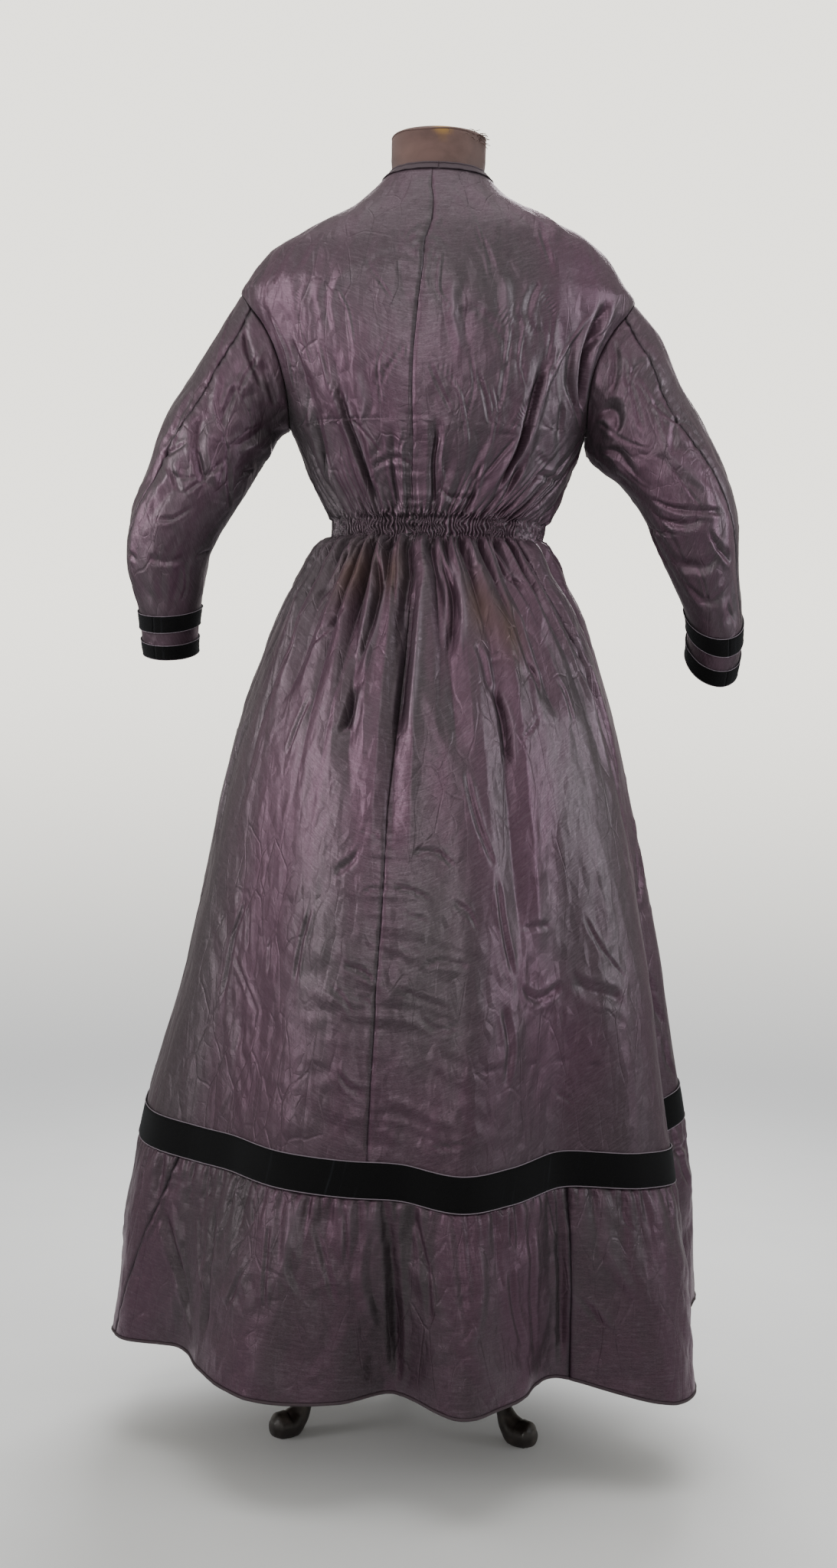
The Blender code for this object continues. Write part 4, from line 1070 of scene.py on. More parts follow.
def make_panel(piece):
    """One full-length panel: a grid of shares across and levels down, lifted by its relief."""
    back = piece.startswith("back")
    levels = panel_levels(1 if back else 2)
    start, end = panel_edges(levels, piece)
    share = np.linspace(0, 1, (BACK_COLUMNS if back else FRONT_COLUMNS) + 1)[None, :]
    angle = start[:, None] + (end - start)[:, None] * share
    level = np.repeat(levels[:, None], share.shape[1], axis=1)
    points, normals = base(angle, level), outward(angle, level)
    heights, dark = panel_heights(piece, angle, level, share)
    width = np.linalg.norm(np.diff(points, axis=1), axis=-1).sum(axis=1)[:, None]
    for distance, last in ((share * width, False), ((1 - share) * width, True)):
        centre_back = (piece == "back_left") == last and back
        ripple = 0.0010 if centre_back else 0.0004
        seam = pucker(distance, level, 40 + centre_back, ripple=ripple)
        heights = heights + seam * quiet(level, 0.012)
        dark = np.maximum(dark, seam_shade(distance, 0.8, 0.0009))
        armhole = (not centre_back) * (np.abs(level - ARMHOLE_LEVEL) < ARMHOLE_HALF)
        heights = np.where(armhole, heights * ease(distance / 0.014), heights)
    marks = panel_marks(piece, angle, level, heights, points, dark)
    cloth = make_cloth(f"{piece}_silk", points, normals, heights, CLOTH, SILK, marks)
    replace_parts(cloth, piece)
    width, length, area = FLAT[piece.split("_")[0]]
    return level


PANELS = {piece: make_panel(piece)
          for piece in ("back_left", "back_right", "front_right", "front_left")}
print("triangles so far:", TOTALS["triangles"])

# %% [markdown]
# ## The flounce
#
# Four widths of silk are gathered on to the hem under the ribbon. Their gathers are uneven: some
# short, some running half way down. The lower edge is rolled over a cord.

# %% Creases of the flounce
FLOUNCE_CREASES = rows_of("""
    -64.6 0.282 -58.2 0.209 -50.2 0.134 8 6; -50.6 0.324 -50.2 0.31 -49.8 0.296 2.5 3;
    -52.4 0.278 -49.6 0.22 -45.2 0.189 4 3; -34.2 0.314 -33.2 0.301 -32.6 0.288 2.5 2.5;
    -28 0.298 -27.4 0.24 -26.6 0.205 3 2.5; -12.6 0.322 -12.2 0.294 -12 0.265 2.5 4;
    -18.8 0.305 -15.8 0.264 -13.2 0.216 4 2; -32.8 0.245 -35 0.219 -36.4 0.196 4 2.2;
    19 0.33 19.2 0.308 19.4 0.285 2.5 4; 30.2 0.334 32 0.307 33.2 0.273 3 3;
    0.4 0.325 2.8 0.267 3.8 0.207 4 3; 8 0.324 8.6 0.276 9.4 0.221 5 2;
    18.8 0.271 19.6 0.228 22.6 0.168 5 3; 47.2 0.327 46.4 0.301 48.2 0.285 3 2.5;
    38.2 0.213 40.4 0.197 41.8 0.183 5 2.5; 58.4 0.324 58.2 0.312 57.8 0.3 2.5 3;
    43.4 0.234 44 0.233 44.6 0.229 1.6 1.5; -23.4 0.297 -23.6 0.259 -20.4 0.223 6 -2;
    -8.4 0.304 -9.4 0.256 -6.4 0.188 7 -2; 11.4 0.311 12.6 0.255 11.2 0.194 7 -2;
    43 0.3 43.6 0.261 46.6 0.218 8 -2.5; -4.5 0.325 -3 0.23 -2 0.125 8 6;
    33.4 0.328 34.4 0.24 35.4 0.125 7 5; -47 0.3 -45 0.22 -44 0.14 9 4;
    24 0.32 24.6 0.25 26 0.16 6 3
""")
FLOUNCE_HIDDEN = hidden_creases(14, 34, 70, 300, 0.16, 0.31)
# Widths of the flounce: seam angles at the ribbon and at the hem, and columns of the grid
FLOUNCES = (
    ("flounce_back", (-62, -75), (36, 37), 260), ("flounce_right", (36, 37), (115, 115), 190),
    ("flounce_front", (115, 115), (195, 195), 180), ("flounce_left", (195, 195), (298, 285), 220),
)
FLOUNCE_ROWS = 70
FLOUNCE_TOP = SKIRT_END - 0.0008
# FLOUNCE_SHADE is painted shade laid over the whole flounce
FLOUNCE_SHADE, FLOUNCE_SEAM = 0.24, 0.006
print("creases of the flounce:", len(FLOUNCE_CREASES) + len(FLOUNCE_HIDDEN))

# %% Gather the flounce


def flounce_heights(angle, level, down):
    """Gathers that start as tight ridges under the ribbon, join into wider ones and fade, on
    top of placed creases and crumples. down runs from 0 at the ribbon to 1 at the hem."""
    turned = wrapped(angle)
    arc = np.radians(angle) * 0.30
    around = angle / 36.0
    uneven = 0.45 + 0.55 * ease(0.5 + 0.8 * soft(arc, 0.0 * arc, 51, 0.07))
    tight = ridges(around, 14, 52) * 0.0017 * np.exp(-(down / 0.11) ** 2)
    joined = ridges(around, 7, 53) * 0.0026 * ease(down / 0.05) * np.exp(-(down / 0.22) ** 2)
    broad = ridges(around, 2.2, 54) * 0.0024 * ease(down / 0.12) * np.exp(-(down / 0.55) ** 2)
    heights = (tight + joined + broad) * uneven
    heights = heights + crease_heights(turned, level, FLOUNCE_CREASES, per_degree, 1.0)
    heights = heights + crease_heights(angle % 360, level, FLOUNCE_HIDDEN, per_degree, 1.0)
    heights = heights + ease(down / 0.15) * (
        0.20 * crumple(arc, level, 61, 0.036, 1.7, 0.25)
        + 0.16 * crumple(arc, level, 64, 0.018, 1.6, -0.6)
        + 0.05 * crumple(arc, level, 67, 0.009, 1.5, 0.9))
    return heights - 0.0006 * (1 - ease(down / 0.04))


def make_flounce(piece, start, end, columns):
    """One gathered width, on a grid of shares across and levels down."""
    down = np.linspace(0, 1, FLOUNCE_ROWS + 1)[:, None]
    share = np.linspace(0, 1, columns + 1)[None, :]
    first = start[0] + (start[1] - start[0]) * down + FLOUNCE_SEAM
    last = end[0] + (end[1] - end[0]) * down - FLOUNCE_SEAM
    angle = first + (last - first) * share
    level = FLOUNCE_TOP - down * (FLOUNCE_TOP - HEM_LEVEL) + 0 * angle
    points, normals = base(angle, level), outward(angle, level)
    down = down + 0 * angle
    heights = flounce_heights(angle, level, down)
    width = np.linalg.norm(np.diff(points, axis=1), axis=-1).sum(axis=1)[:, None]
    dark = 0.0 * level
    for distance in (share * width, (1 - share) * width):
        dark = np.maximum(dark, seam_shade(distance, 0.8, 0.0025))
        heights = heights + pucker(distance, level, 71, ripple=0.0005)
    tone = 0.10 + 0.5 * soft(np.radians(angle) * 0.3, level * 0.5, 81, 0.08)
    # Painted shade in the folds and at the seams, on top of FLOUNCE_SHADE; paler on raised places
    deep = np.maximum(depth_shade(heights, 0.5, 0.0016, 0.008), dark)
    marks = {"tone": tone + lean_tone(heights, points), "stain": 0 * level,
             "raised_pale": 0.22 * np.clip(heights / 0.004, 0, 1) ** 2,
             "deep": np.clip(FLOUNCE_SHADE + deep, 0, 1)}
    cloth = make_cloth(f"{piece}_silk", points, normals, heights, CLOTH, SILK, marks)
    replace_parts(cloth, piece)


for flounce in FLOUNCES:
    make_flounce(*flounce)
print("triangles so far:", TOTALS["triangles"])

# %% [markdown]
# ## Velvet ribbon
#
# A ribbon of black velvet covers the join of skirt and flounce. Along both edges runs its woven
# selvedge, which catches the light as a thin lilac line. The ribbon is a strip laid on the same
# curves, just proud of them, and the selvedge is a thin cord along its edge.

# %% Tubes along a path
TUBE_SIDES = 6


def tube(path, radius, closed=False):
    """Points and faces of a tube: at each point of the path a circle is set across its heading,
    in the plane of two unit vectors square to it."""
    path = np.asarray(path)
    if closed:
        heading = np.roll(path, -1, axis=0) - np.roll(path, 1, axis=0)
    else:
        heading = np.gradient(path, axis=0)
    heading = heading / np.linalg.norm(heading, axis=-1, keepdims=True)
    lift = np.where(np.abs(heading[:, 2:3]) < 0.9, [[0.0, 0.0, 1.0]], [[1.0, 0.0, 0.0]])
    beside = np.cross(heading, lift)
    beside = beside / np.linalg.norm(beside, axis=-1, keepdims=True)
    over = np.cross(beside, heading)
    turn = np.linspace(0, 2 * math.pi, TUBE_SIDES, endpoint=False)
    radius = np.broadcast_to(radius, (len(path),))[:, None, None]
    rings = path[:, None] + radius * (np.cos(turn)[None, :, None] * beside[:, None]
                                      + np.sin(turn)[None, :, None] * over[:, None])
    count = len(path)
    number = np.arange(count * TUBE_SIDES).reshape(count, TUBE_SIDES)
    after = np.roll(number, -1, axis=0) if closed else number[1:]
    before = number if closed else number[:-1]
    corners = (before, np.roll(before, -1, axis=1), np.roll(after, -1, axis=1), after)
    faces = np.stack([corner.ravel() for corner in corners], axis=-1).tolist()
    if not closed:
        faces += [number[0, ::-1].tolist(), number[-1].tolist()]
    return rings.reshape(-1, 3), faces


def join(parts):
    """Put several (points, faces) together."""
    points, faces, offset = [], [], 0
    for part_points, part_faces in parts:
        points.append(part_points)
        faces += [[corner + offset for corner in face] for face in part_faces]
        offset += len(part_points)
    return np.concatenate(points), faces


def make_tubes(name, paths, radius, material, closed=False):
    """One piece of cords along several paths."""
    points, faces = join([tube(path, radius, closed) for path in paths])
    return make_mesh(name, points, faces, material)


print("tube sides:", TUBE_SIDES)

# %% Hem ribbon
RIBBON_ROWS = 8
PRESSED_SHARE = 0.3
SELVEDGE_RADIUS = 0.00055


def form_heights(angle, level):
    """Only the long folds, which ribbon and binding follow."""
    return crease_heights(wrapped(angle), level, FOLDS, per_degree, 1.0) * quiet(level, 0.020)


def make_band(name, angles, top, end, lift, thickness, material):
    """A strip laid on the dress between two levels, with slight waves of its own."""
    level = np.linspace(top, end, RIBBON_ROWS + 1)[:, None] + 0 * angles[None, :]
    angle = angles[None, :] + 0 * level
    points, normals = base(angle, level), outward(angle, level)
    waves = 0.0004 * (1 + soft(np.radians(angle) * 0.3, level, 91, 0.05))
    heights = form_heights(angle, level) + lift + thickness + waves
    wear = PRESSED_SHARE + 0.5 * soft(np.radians(angle) * 0.3, level * 0, 92, 0.06)
    marks = {"press": np.clip(wear, 0, 1)}
    band = make_cloth(name, points, normals, heights, thickness + 0.0002, material, marks)
    outer = CLOTHS[name][0]
    return band, outer[0], outer[-1]


seam_left, seam_right = (float(SEAMS[name][0]) for name in ("left_side", "right_side"))
EDGE = 0.03
RIBBONS = (("hem_ribbon_back", seam_left + EDGE, seam_right - EDGE, 240),
           ("hem_ribbon_front", seam_right + EDGE, 360 + seam_left - EDGE, 220))
selvedges = []
for piece, start, end, columns in RIBBONS:
    band, top_edge, low_edge = make_band(f"{piece}_velvet", np.linspace(start, end, columns + 1),
                                         BAND_TOP, SKIRT_END, GAP, VELVET, VELVET_PILE)
    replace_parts(band, piece)
    selvedges += [top_edge, low_edge]
make_tubes("hem_selvedge", selvedges, SELVEDGE_RADIUS, SELVEDGE)
print("ribbon edges:", len(selvedges))

# %% Rolled hem and neck binding
HEM_CORD = 0.0017
hem_paths = [CLOTHS[f"{name}_silk"][0][-1] for name, *_ in FLOUNCES]
make_tubes("hem_cord", hem_paths, HEM_CORD, BINDING)

neck_angles = np.linspace(0.1, 359.9, 241)
binding, neck_top, _ = make_band("neck_binding_silk", neck_angles, NECK_LEVEL, BINDING_LEVEL,
                                 GAP, VELVET, BINDING)
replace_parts(binding, "neck_binding")
make_tubes("neck_cord", [neck_top], 0.0012, BINDING)
print("hem cord pieces:", len(hem_paths))

# %% [markdown]
# ## Sleeves
#
# A coat sleeve of that time has two pieces, an upper and an under one, joined by a hind-arm and
# a fore-arm seam, and bends at the elbow. Each sleeve is lofted through tilted ovals, from the
# armhole to the cuff. Creases are placed by degrees round the arm and by ring number, and so is
# the hind-arm seam, which wanders as it does in the photograph.

# %% Rings of the sleeves
SLEEVES = {  # each row: outer_x, outer_z, inner_x, inner_z, middle_y, half_depth, tip
    "left": rows_of("""
        0.25 1.272 0.178 1.149 0.004 0.062 0; 0.28 1.219 0.185 1.132 0 0.062 0;
        0.3105 1.165 0.1975 1.114 -0.006 0.06 2; 0.327 1.112 0.213 1.083 -0.01 0.058 5;
        0.346 1.059 0.234 1.049 -0.01 0.055 8; 0.3505 1.005 0.2545 1.006 -0.004 0.051 12;
        0.336 0.947 0.264 0.952 0.004 0.046 14; 0.334 0.929 0.2665 0.933 0.007 0.045 15;
        0.3325 0.915 0.2675 0.917 0.01 0.044 15; 0.33 0.899 0.268 0.9 0.012 0.043 15
"""),
    "right": rows_of("""
        0.264 1.275 0.178 1.149 0.004 0.062 0; 0.289 1.221 0.185 1.134 0 0.062 0;
        0.32 1.169 0.196 1.122 -0.006 0.06 4; 0.345 1.117 0.223 1.101 -0.01 0.058 8;
        0.359 1.065 0.248 1.068 -0.008 0.055 14; 0.362 1.018 0.272 1.02 0 0.051 22;
        0.3715 0.954 0.304 0.961 0.018 0.047 36; 0.3725 0.934 0.308 0.943 0.025 0.046 39;
        0.3715 0.917 0.309 0.927 0.03 0.045 40; 0.369 0.899 0.309 0.909 0.034 0.044 41
"""),
}
HIND_SEAM = 22.5
ARMHOLE_EASE = 0.006
RING_LENGTH = 0.045
ROUND_METRES = 0.00092
print("rings of a sleeve:", len(SLEEVES["left"]))

# %% Creases of the sleeves
# Each row: degrees round the arm and ring number, three times, then width and depth
SLEEVE_CREASES = {
    "left": rows_of("""
        47 0.38 79 0.6 113 0.65 5 5; 71 2.48 85 3.28 112 4.15 7 6; 89 1.23 90 1.95 96 2.53 4 3;
        74 3.2 60 3.48 39 3.73 3 3; 117 3.15 108 3.65 85 4.48 3 2;
        117 3.15 133 3.88 152 4.58 3 2.5; 63 5.05 87 4.98 107 4.58 3 2;
        65 5.83 93 5.9 119 5.85 4 2; 120 5.85 126 6.38 109 6.8 3 2; 11 5.78 35 5.83 49 5.93 3 3;
        161 5.73 145 5.78 134 5.83 4 3; 163 3.2 150 3.35 141 3.5 4 3; 58 3.75 71 4.08 86 4.38 4 3;
        85 0.45 106 0.45 129 0.45 6 4; 63 1.4 73 2.05 94 2.58 6 -2.5; 45 2.2 48 3 40 3.6 5 3;
        140 1.2 132 2 120 2.9 7 4; 8 0.25 41 1.05 64 1.73 2.2 -1.8; 53 1.6 54 2.55 59 3.58 2.2 1.8;
        74 0.18 88 0.73 98 1.85 2.4 1.8; 63 3.05 90 3.35 110 4.03 2.2 -1.8;
        84 1.3 110 1.5 134 2.3 2 1.6; 90 2.4 116 3.1 122 4.03 2 1.6;
        45 3.78 75 4.03 105 3.83 2.2 1.6
"""),
    "right": rows_of("""
        120 0.6 112 1.3 118 2 8 6; 64 0.12 85 0.5 106 0.73 5 3; 86 0.7 91 1.75 95 2.43 3 2.5;
        61 0.95 74 0.9 86 0.85 3 2; 75 1.78 62 2.5 41 2.78 3 3; 64 2.55 72 2.88 80 3.23 4 3;
        132 4.3 106 4.58 47 4.65 4 4; 135 4.83 107 4.95 76 4.75 5 4; 77 5.1 58 5.55 43 5.7 5 4;
        133 5.83 91 5.83 63 5.6 6 4; 132 6.12 98 6.38 54 6.3 4 3; 60 6.48 51 6.62 46 6.75 3 2.5;
        69 6.58 71 6.83 71 7.18 3 2; 156 5.05 165 5.55 151 6.05 5 3; 88 2.88 76 3.78 59 4.35 7 -2;
        140 2 128 2.8 132 3.6 7 4; 80 0.98 74 2 77 2.6 2.2 -1.8; 92 3.48 85 4.12 76 4.67 2.2 1.6;
        79 5.28 57 5.45 41 5.85 2 -1.6; 123 6.6 94 6.68 43 6.6 2.2 1.8;
        68 0.45 87 0.98 107 1.33 2.2 -1.6; 134 0.73 114 2.4 97 2.98 2.4 1.6;
        74 2.1 83 3.1 96 3.9 2 -1.6; 178 5.28 123 5.18 80 4.93 2.2 1.8;
        101 5.8 94 6.08 94 6.4 2 1.4; 134 2.73 130 3.78 119 4.08 2.2 -1.4;
        110 6.4 87 6.35 54 6.18 2.4 2
"""),
}
print("creases placed on the sleeves:", sum(len(rows) for rows in SLEEVE_CREASES.values()))

# %% Loft the sleeves


def armhole_ring(side, turns):
    """Ring of the sleeve that lies in the armhole, just inside its edge."""
    reach = np.where(np.sin(turns) > 0, ARMHOLE_BACK, ARMHOLE_FRONT) * (1 - ARMHOLE_EASE)
    level = ARMHOLE_LEVEL + ARMHOLE_HALF * (1 - ARMHOLE_EASE) * np.cos(turns)
    return base(side * (90 - reach * np.sin(turns)), level)


def sleeve_ring(side, row, turns):
    """Tilted oval: from its middle, cosine times half the way across, and sine times half the
    depth towards the back, tipped down."""
    outer_x, outer_z, inner_x, inner_z, middle_y, half_depth, tip = row
    outer = np.array([side * outer_x, middle_y, outer_z])
    inner = np.array([side * inner_x, middle_y, inner_z])
    tip = math.radians(tip)
    back = half_depth * np.array([0.0, -math.cos(tip), -math.sin(tip)])
    return ((outer + inner) / 2 + np.outer(np.cos(turns), (outer - inner) / 2)
            + np.outer(np.sin(turns), back))


def sleeve_surface(name, turns, along):
    """Points of a sleeve for degrees round the arm and ring numbers, and unit normals pointing
    away from the arm, found by stepping along the grid both ways."""
    side = 1 if name == "right" else -1
    angles = np.radians(turns)
    rings = np.stack([armhole_ring(side, angles)]
                     + [sleeve_ring(side, row, angles) for row in SLEEVES[name]])
    points = curve(np.arange(len(rings)), rings, along)
    normals = np.cross(np.gradient(points, axis=0), np.gradient(points, axis=1))
    normals = normals / np.linalg.norm(normals, axis=-1, keepdims=True)
    whole = np.radians(np.linspace(0, 360, 48, endpoint=False))
    centres = np.stack([armhole_ring(side, whole).mean(axis=0)]
                       + [sleeve_ring(side, row, whole).mean(axis=0) for row in SLEEVES[name]])
    middle = curve(np.arange(len(rings)), centres, along)[:, None]
    facing = np.sign(((points - middle) * normals).sum(axis=-1).mean())
    return points, normals * facing


def sleeve_heights(name, turn, along):
    """Relief of a sleeve: placed creases, the same ones mirrored on the front of the arm and
    shifted a little, crumples, and cross folds inside the elbow."""
    rows = SLEEVE_CREASES[name]
    mirrored = [(360 - a, b + 0.3, 360 - c, d + 0.3, 360 - e, f + 0.3, w, h * 0.8)
                for a, b, c, d, e, f, w, h in rows]
    metres = lambda angle, ring: ROUND_METRES
    turn = turn % 360
    heights = crease_heights(turn, along, list(rows) + mirrored, metres, RING_LENGTH)
    arc, down = turn * ROUND_METRES, along * RING_LENGTH
    seed = 100 if name == "left" else 110
    seam = np.cos(np.radians(turn - 180))
    elbow = np.exp(-((along - 4.6) / 1.1) ** 2) * ease(0.2 + 0.6 * seam)
    heights = heights + 0.16 * elbow * crumple(arc, down, seed + 1, 0.012, 2.5, 1.4)
    heights = heights + 0.22 * crumple(arc, down, seed + 4, 0.024, 3.0, 0.30)
    heights = heights + 0.16 * crumple(arc, down, seed + 5, 0.014, 2.0, -0.5)
    heights = heights + 0.05 * crumple(arc, down, seed + 6, 0.007, 1.5, 0.2)
    between = ease((along - 8.05) / 0.1) * ease((8.95 - along) / 0.1)
    calm = ease((6.85 - along) / 0.35) + 0.25 * between
    return heights * np.clip(calm, 0, 1) * ease(along / 0.12)


SLEEVE_ROWS, SLEEVE_STEPS = 190, 76
# The hind seam wanders round the back of the arm: ring numbers and degrees
HIND_RINGS = np.array((0.0, 1.0, 2.4, 3.8, 4.8, 6.2, 12.0))
HIND_TURNS = np.array((44.0, 57.0, 58.0, 45.0, 35.0, 24.0, HIND_SEAM))


def make_sleeve_piece(name, piece, start):
    """Half of a sleeve, between its two seams. The surface is found once all the way round and
    then sampled between the two seams of each row."""
    gap = math.degrees(GAP / 2 / 0.05)
    along = np.linspace(0, len(SLEEVES[name]), SLEEVE_ROWS + 1)
    hind = curve(HIND_RINGS, HIND_TURNS, along)
    first, last = (hind, start + 180 + 0 * hind) if piece == "under" else (start, hind + 360)
    first, last = (np.broadcast_to(edge, along.shape)[:, None] for edge in (first, last))
    share = np.linspace(0, 1, SLEEVE_STEPS + 1)[None, :]
    turn = first + gap + (last - first - 2 * gap) * share
    ring = along[:, None] + 0 * turn
    whole = sleeve_surface(name, np.arange(361.0), along)
    low = np.floor(turn % 360).astype(int)
    part = (turn % 360 - low)[..., None]
    rows = np.arange(len(along))[:, None]
    points, normals = (grid[rows, low] * (1 - part) + grid[rows, low + 1] * part for grid in whole)
    heights = sleeve_heights(name, turn, ring)
    dark = 0.0 * ring
    for distance in ((turn - first) * ROUND_METRES, (last - turn) * ROUND_METRES):
        seam = pucker(distance, ring * RING_LENGTH, 120, 0.0012, 0.0008, 0.010)
        dark = np.maximum(dark, seam_shade(distance, 0.7, 0.0016))
        heights = heights + seam * ease((6.95 - ring) / 0.1)
    heights = heights - 0.0010 * np.exp(-(ring / 0.05) ** 2)
    side = 1 if name == "right" else -1
    shade = soft(turn * ROUND_METRES, ring * RING_LENGTH * 0.6, 130 + len(name), 0.06)
    edge = np.cos(np.radians(turn))
    tone = 0.15 + 0.45 * shade - 0.8 * np.abs(edge) ** 3
    # Painted shade in the folds and along the seams; paler on raised places
    marks = {"tone": tone + side * lean_tone(heights, points),
             "stain": 0 * ring, "raised_pale": 0.25 * np.clip(heights / 0.0035, 0, 1) ** 2,
             "deep": np.maximum(depth_shade(heights, 0.15, 0.0018, 0.008), dark)}
    cloth = make_cloth(f"sleeve_{name}_{piece}_silk", points, normals, heights, CLOTH, SILK,
                       marks)
    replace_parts(cloth, f"sleeve_{name}_{piece}")


for name in SLEEVES:
    make_sleeve_piece(name, "under", HIND_SEAM)
    make_sleeve_piece(name, "upper", HIND_SEAM + 180)
print("triangles so far:", TOTALS["triangles"])

# %% Cuff ribbons
CUFFS = (("upper", 7.0, 8.0), ("lower", 9.0, 10.0))
RIBBON_JOIN = 67.5
cuff_edges = []
for name in SLEEVES:
    for label, top, end in CUFFS:
        turns = np.linspace(RIBBON_JOIN + 0.2, RIBBON_JOIN + 359.8, 97)
        along = np.linspace(top, end, RIBBON_ROWS + 1)
        points, normals = sleeve_surface(name, turns, along)
        heights = 0.0003 * (1 + soft(turns[None, :] * ROUND_METRES, along[:, None], 140, 0.03))
        heights = heights + GAP + VELVET
        marks = {"press": PRESSED_SHARE + 0 * heights}
        piece = f"cuff_ribbon_{name}_{label}"
        cuff = make_cloth(f"{piece}_velvet", points, normals, heights, VELVET + 0.0002,
                          VELVET_PILE, marks)
        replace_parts(cuff, piece)
        outer = CLOTHS[f"{piece}_velvet"][0]
        cuff_edges += [outer[0], outer[-1]]
make_tubes("cuff_selvedge", cuff_edges, 0.0004, SELVEDGE)
print("cuff edges:", len(cuff_edges))

# %% [markdown]
# ## Stitches
#
# Hand stitches show along the ribbons, the gathering threads, the line across the lower back and
# a small mend on the right sleeve. Each stitch is one short spindle with four sides. All of them
# are worked out together from a path and a spacing.

# %% Rows of stitches


def stitches(path, spacing, length, radius, lift=0.0003):
    """Spindles along a path: a pointed start, a square waist and a pointed end for each. The path
    is measured first, and a stitch is set every spacing metres along it."""
    path = np.asarray(path)
    steps = np.linalg.norm(np.diff(path, axis=0), axis=-1)
    reach = np.concatenate([[0.0], np.cumsum(steps)])
    middles = np.arange(spacing / 2, reach[-1] - length / 2, spacing)
    sample = lambda places: np.stack([np.interp(places, reach, path[:, i]) for i in range(3)], -1)
    start, end = sample(middles - length / 2), sample(middles + length / 2)
    heading = end - start
    heading = heading / np.linalg.norm(heading, axis=-1, keepdims=True)
    out = sample(middles) * (1, 1, 0)
    out = out / np.linalg.norm(out, axis=-1, keepdims=True)
    beside = np.cross(heading, out)
    centre = (start + end) / 2 + out * lift
    corners = [centre + radius * beside, centre + radius * out, centre - radius * beside,
               centre - radius * out]
    points = np.stack([start + out * lift * 0.2] + corners + [end + out * lift * 0.2], axis=1)
    faces = np.array([(0, 1, 2), (0, 2, 3), (0, 3, 4), (0, 4, 1),
                      (5, 2, 1), (5, 3, 2), (5, 4, 3), (5, 1, 4)])
    faces = faces[None] + 6 * np.arange(len(points))[:, None, None]
    return points.reshape(-1, 3), faces.reshape(-1, 3).tolist()


def panel_line(piece, level, start=0.0, end=1.0):
    """Points along one level of a panel's outside, from one share across to another."""
    levels = PANELS[piece]
    outer = CLOTHS[f"{piece}_silk"][0]
    row = int(np.argmin(np.abs(levels[:, 0] - level)))
    columns = np.linspace(start, end, 161) * (outer.shape[1] - 1)
    low = np.clip(columns.astype(int), 0, outer.shape[1] - 2)
    share = (columns - low)[:, None]
    return outer[row, low] * (1 - share) + outer[row, low + 1] * share


rows_of_stitches = []
for level in (SHIRRING_TOP, SHIRRING_END):
    for piece in ("back_left", "back_right"):
        rows_of_stitches.append(stitches(panel_line(piece, level), 0.0032, 0.0022, 0.00035))
for line in (("back_left", 1.1635, 0.05, 1.0), ("back_right", 1.152, 0.0, 0.62)):
    rows_of_stitches.append(stitches(panel_line(*line), 0.004, 0.0024, 0.0003))
rows_of_stitches += [stitches(edge, 0.006, 0.0026, 0.0003) for edge in selvedges]
rows_of_stitches += [stitches(edge, 0.005, 0.0022, 0.0003) for edge in cuff_edges]
# The mend: three short rows on the back of the right sleeve, beside its hind seam
target = PLACE + np.array((0.268, -0.12, 1.13))
sleeves = [CLOTHS[f"sleeve_right_{half}_silk"][0] for half in ("under", "upper")]
sleeve = min(sleeves, key=lambda outer: np.linalg.norm(outer - target, axis=-1).min())
nearest = np.linalg.norm(sleeve - target, axis=-1).argmin()
row, column = np.unravel_index(nearest, sleeve.shape[:2])
row, column = min(max(row, 6), SLEEVE_ROWS - 6), min(max(column, 6), SLEEVE_STEPS - 6)
for step, reach in ((-2, 4), (0, 6), (2, 5)):
    path = sleeve[row + step, column - reach:column + reach + 1]
    rows_of_stitches.append(stitches(path, 0.0030, 0.0021, 0.0004))
points, faces = join(rows_of_stitches)
make_mesh("hand_stitches", points, faces, THREAD)
print("stitches:", len(points) // 6)

# %% [markdown]
# ## Buttons
#
# The front is hidden in the photograph. Ten silk-covered buttons close it, as on dresses like it.
# Each is a low dome turned from a profile, tilted to lie on the cloth.

# %% Closed and turned shapes


def closed_rings(rings, poles=None):
    """Points and faces of a solid through closed rings, with a fan over each end, from a pole
    that is the ring's middle unless it is given."""
    count, sides = rings.shape[:2]
    if poles is None:
        poles = [rings[0].mean(axis=0), rings[-1].mean(axis=0)]
    number = np.arange(count * sides).reshape(count, sides)
    beside = np.roll(number, -1, axis=1)
    faces = np.stack([number[:-1], number[1:], beside[1:], beside[:-1]], -1).reshape(-1, 4).tolist()
    top, bottom = count * sides, count * sides + 1
    faces += [[top, int(a), int(b)] for a, b in zip(number[0], beside[0])]
    faces += [[bottom, int(b), int(a)] for a, b in zip(number[-1], beside[-1])]
    return np.concatenate([rings.reshape(-1, 3), poles]), faces


def turned(profile, sides=24):
    """Turn (radius, height) rows round the Z axis. The first and the last row have no radius,
    and become the two poles."""
    profile = np.asarray(profile, float)
    turn = np.linspace(0, 2 * math.pi, sides, endpoint=False)
    body = profile[1:-1]
    rings = np.stack([body[:, :1] * np.cos(turn), body[:, :1] * np.sin(turn),
                      np.repeat(body[:, 1:], sides, axis=1)], axis=-1)
    return closed_rings(rings, [[0, 0, profile[0, 1]], [0, 0, profile[-1, 1]]])


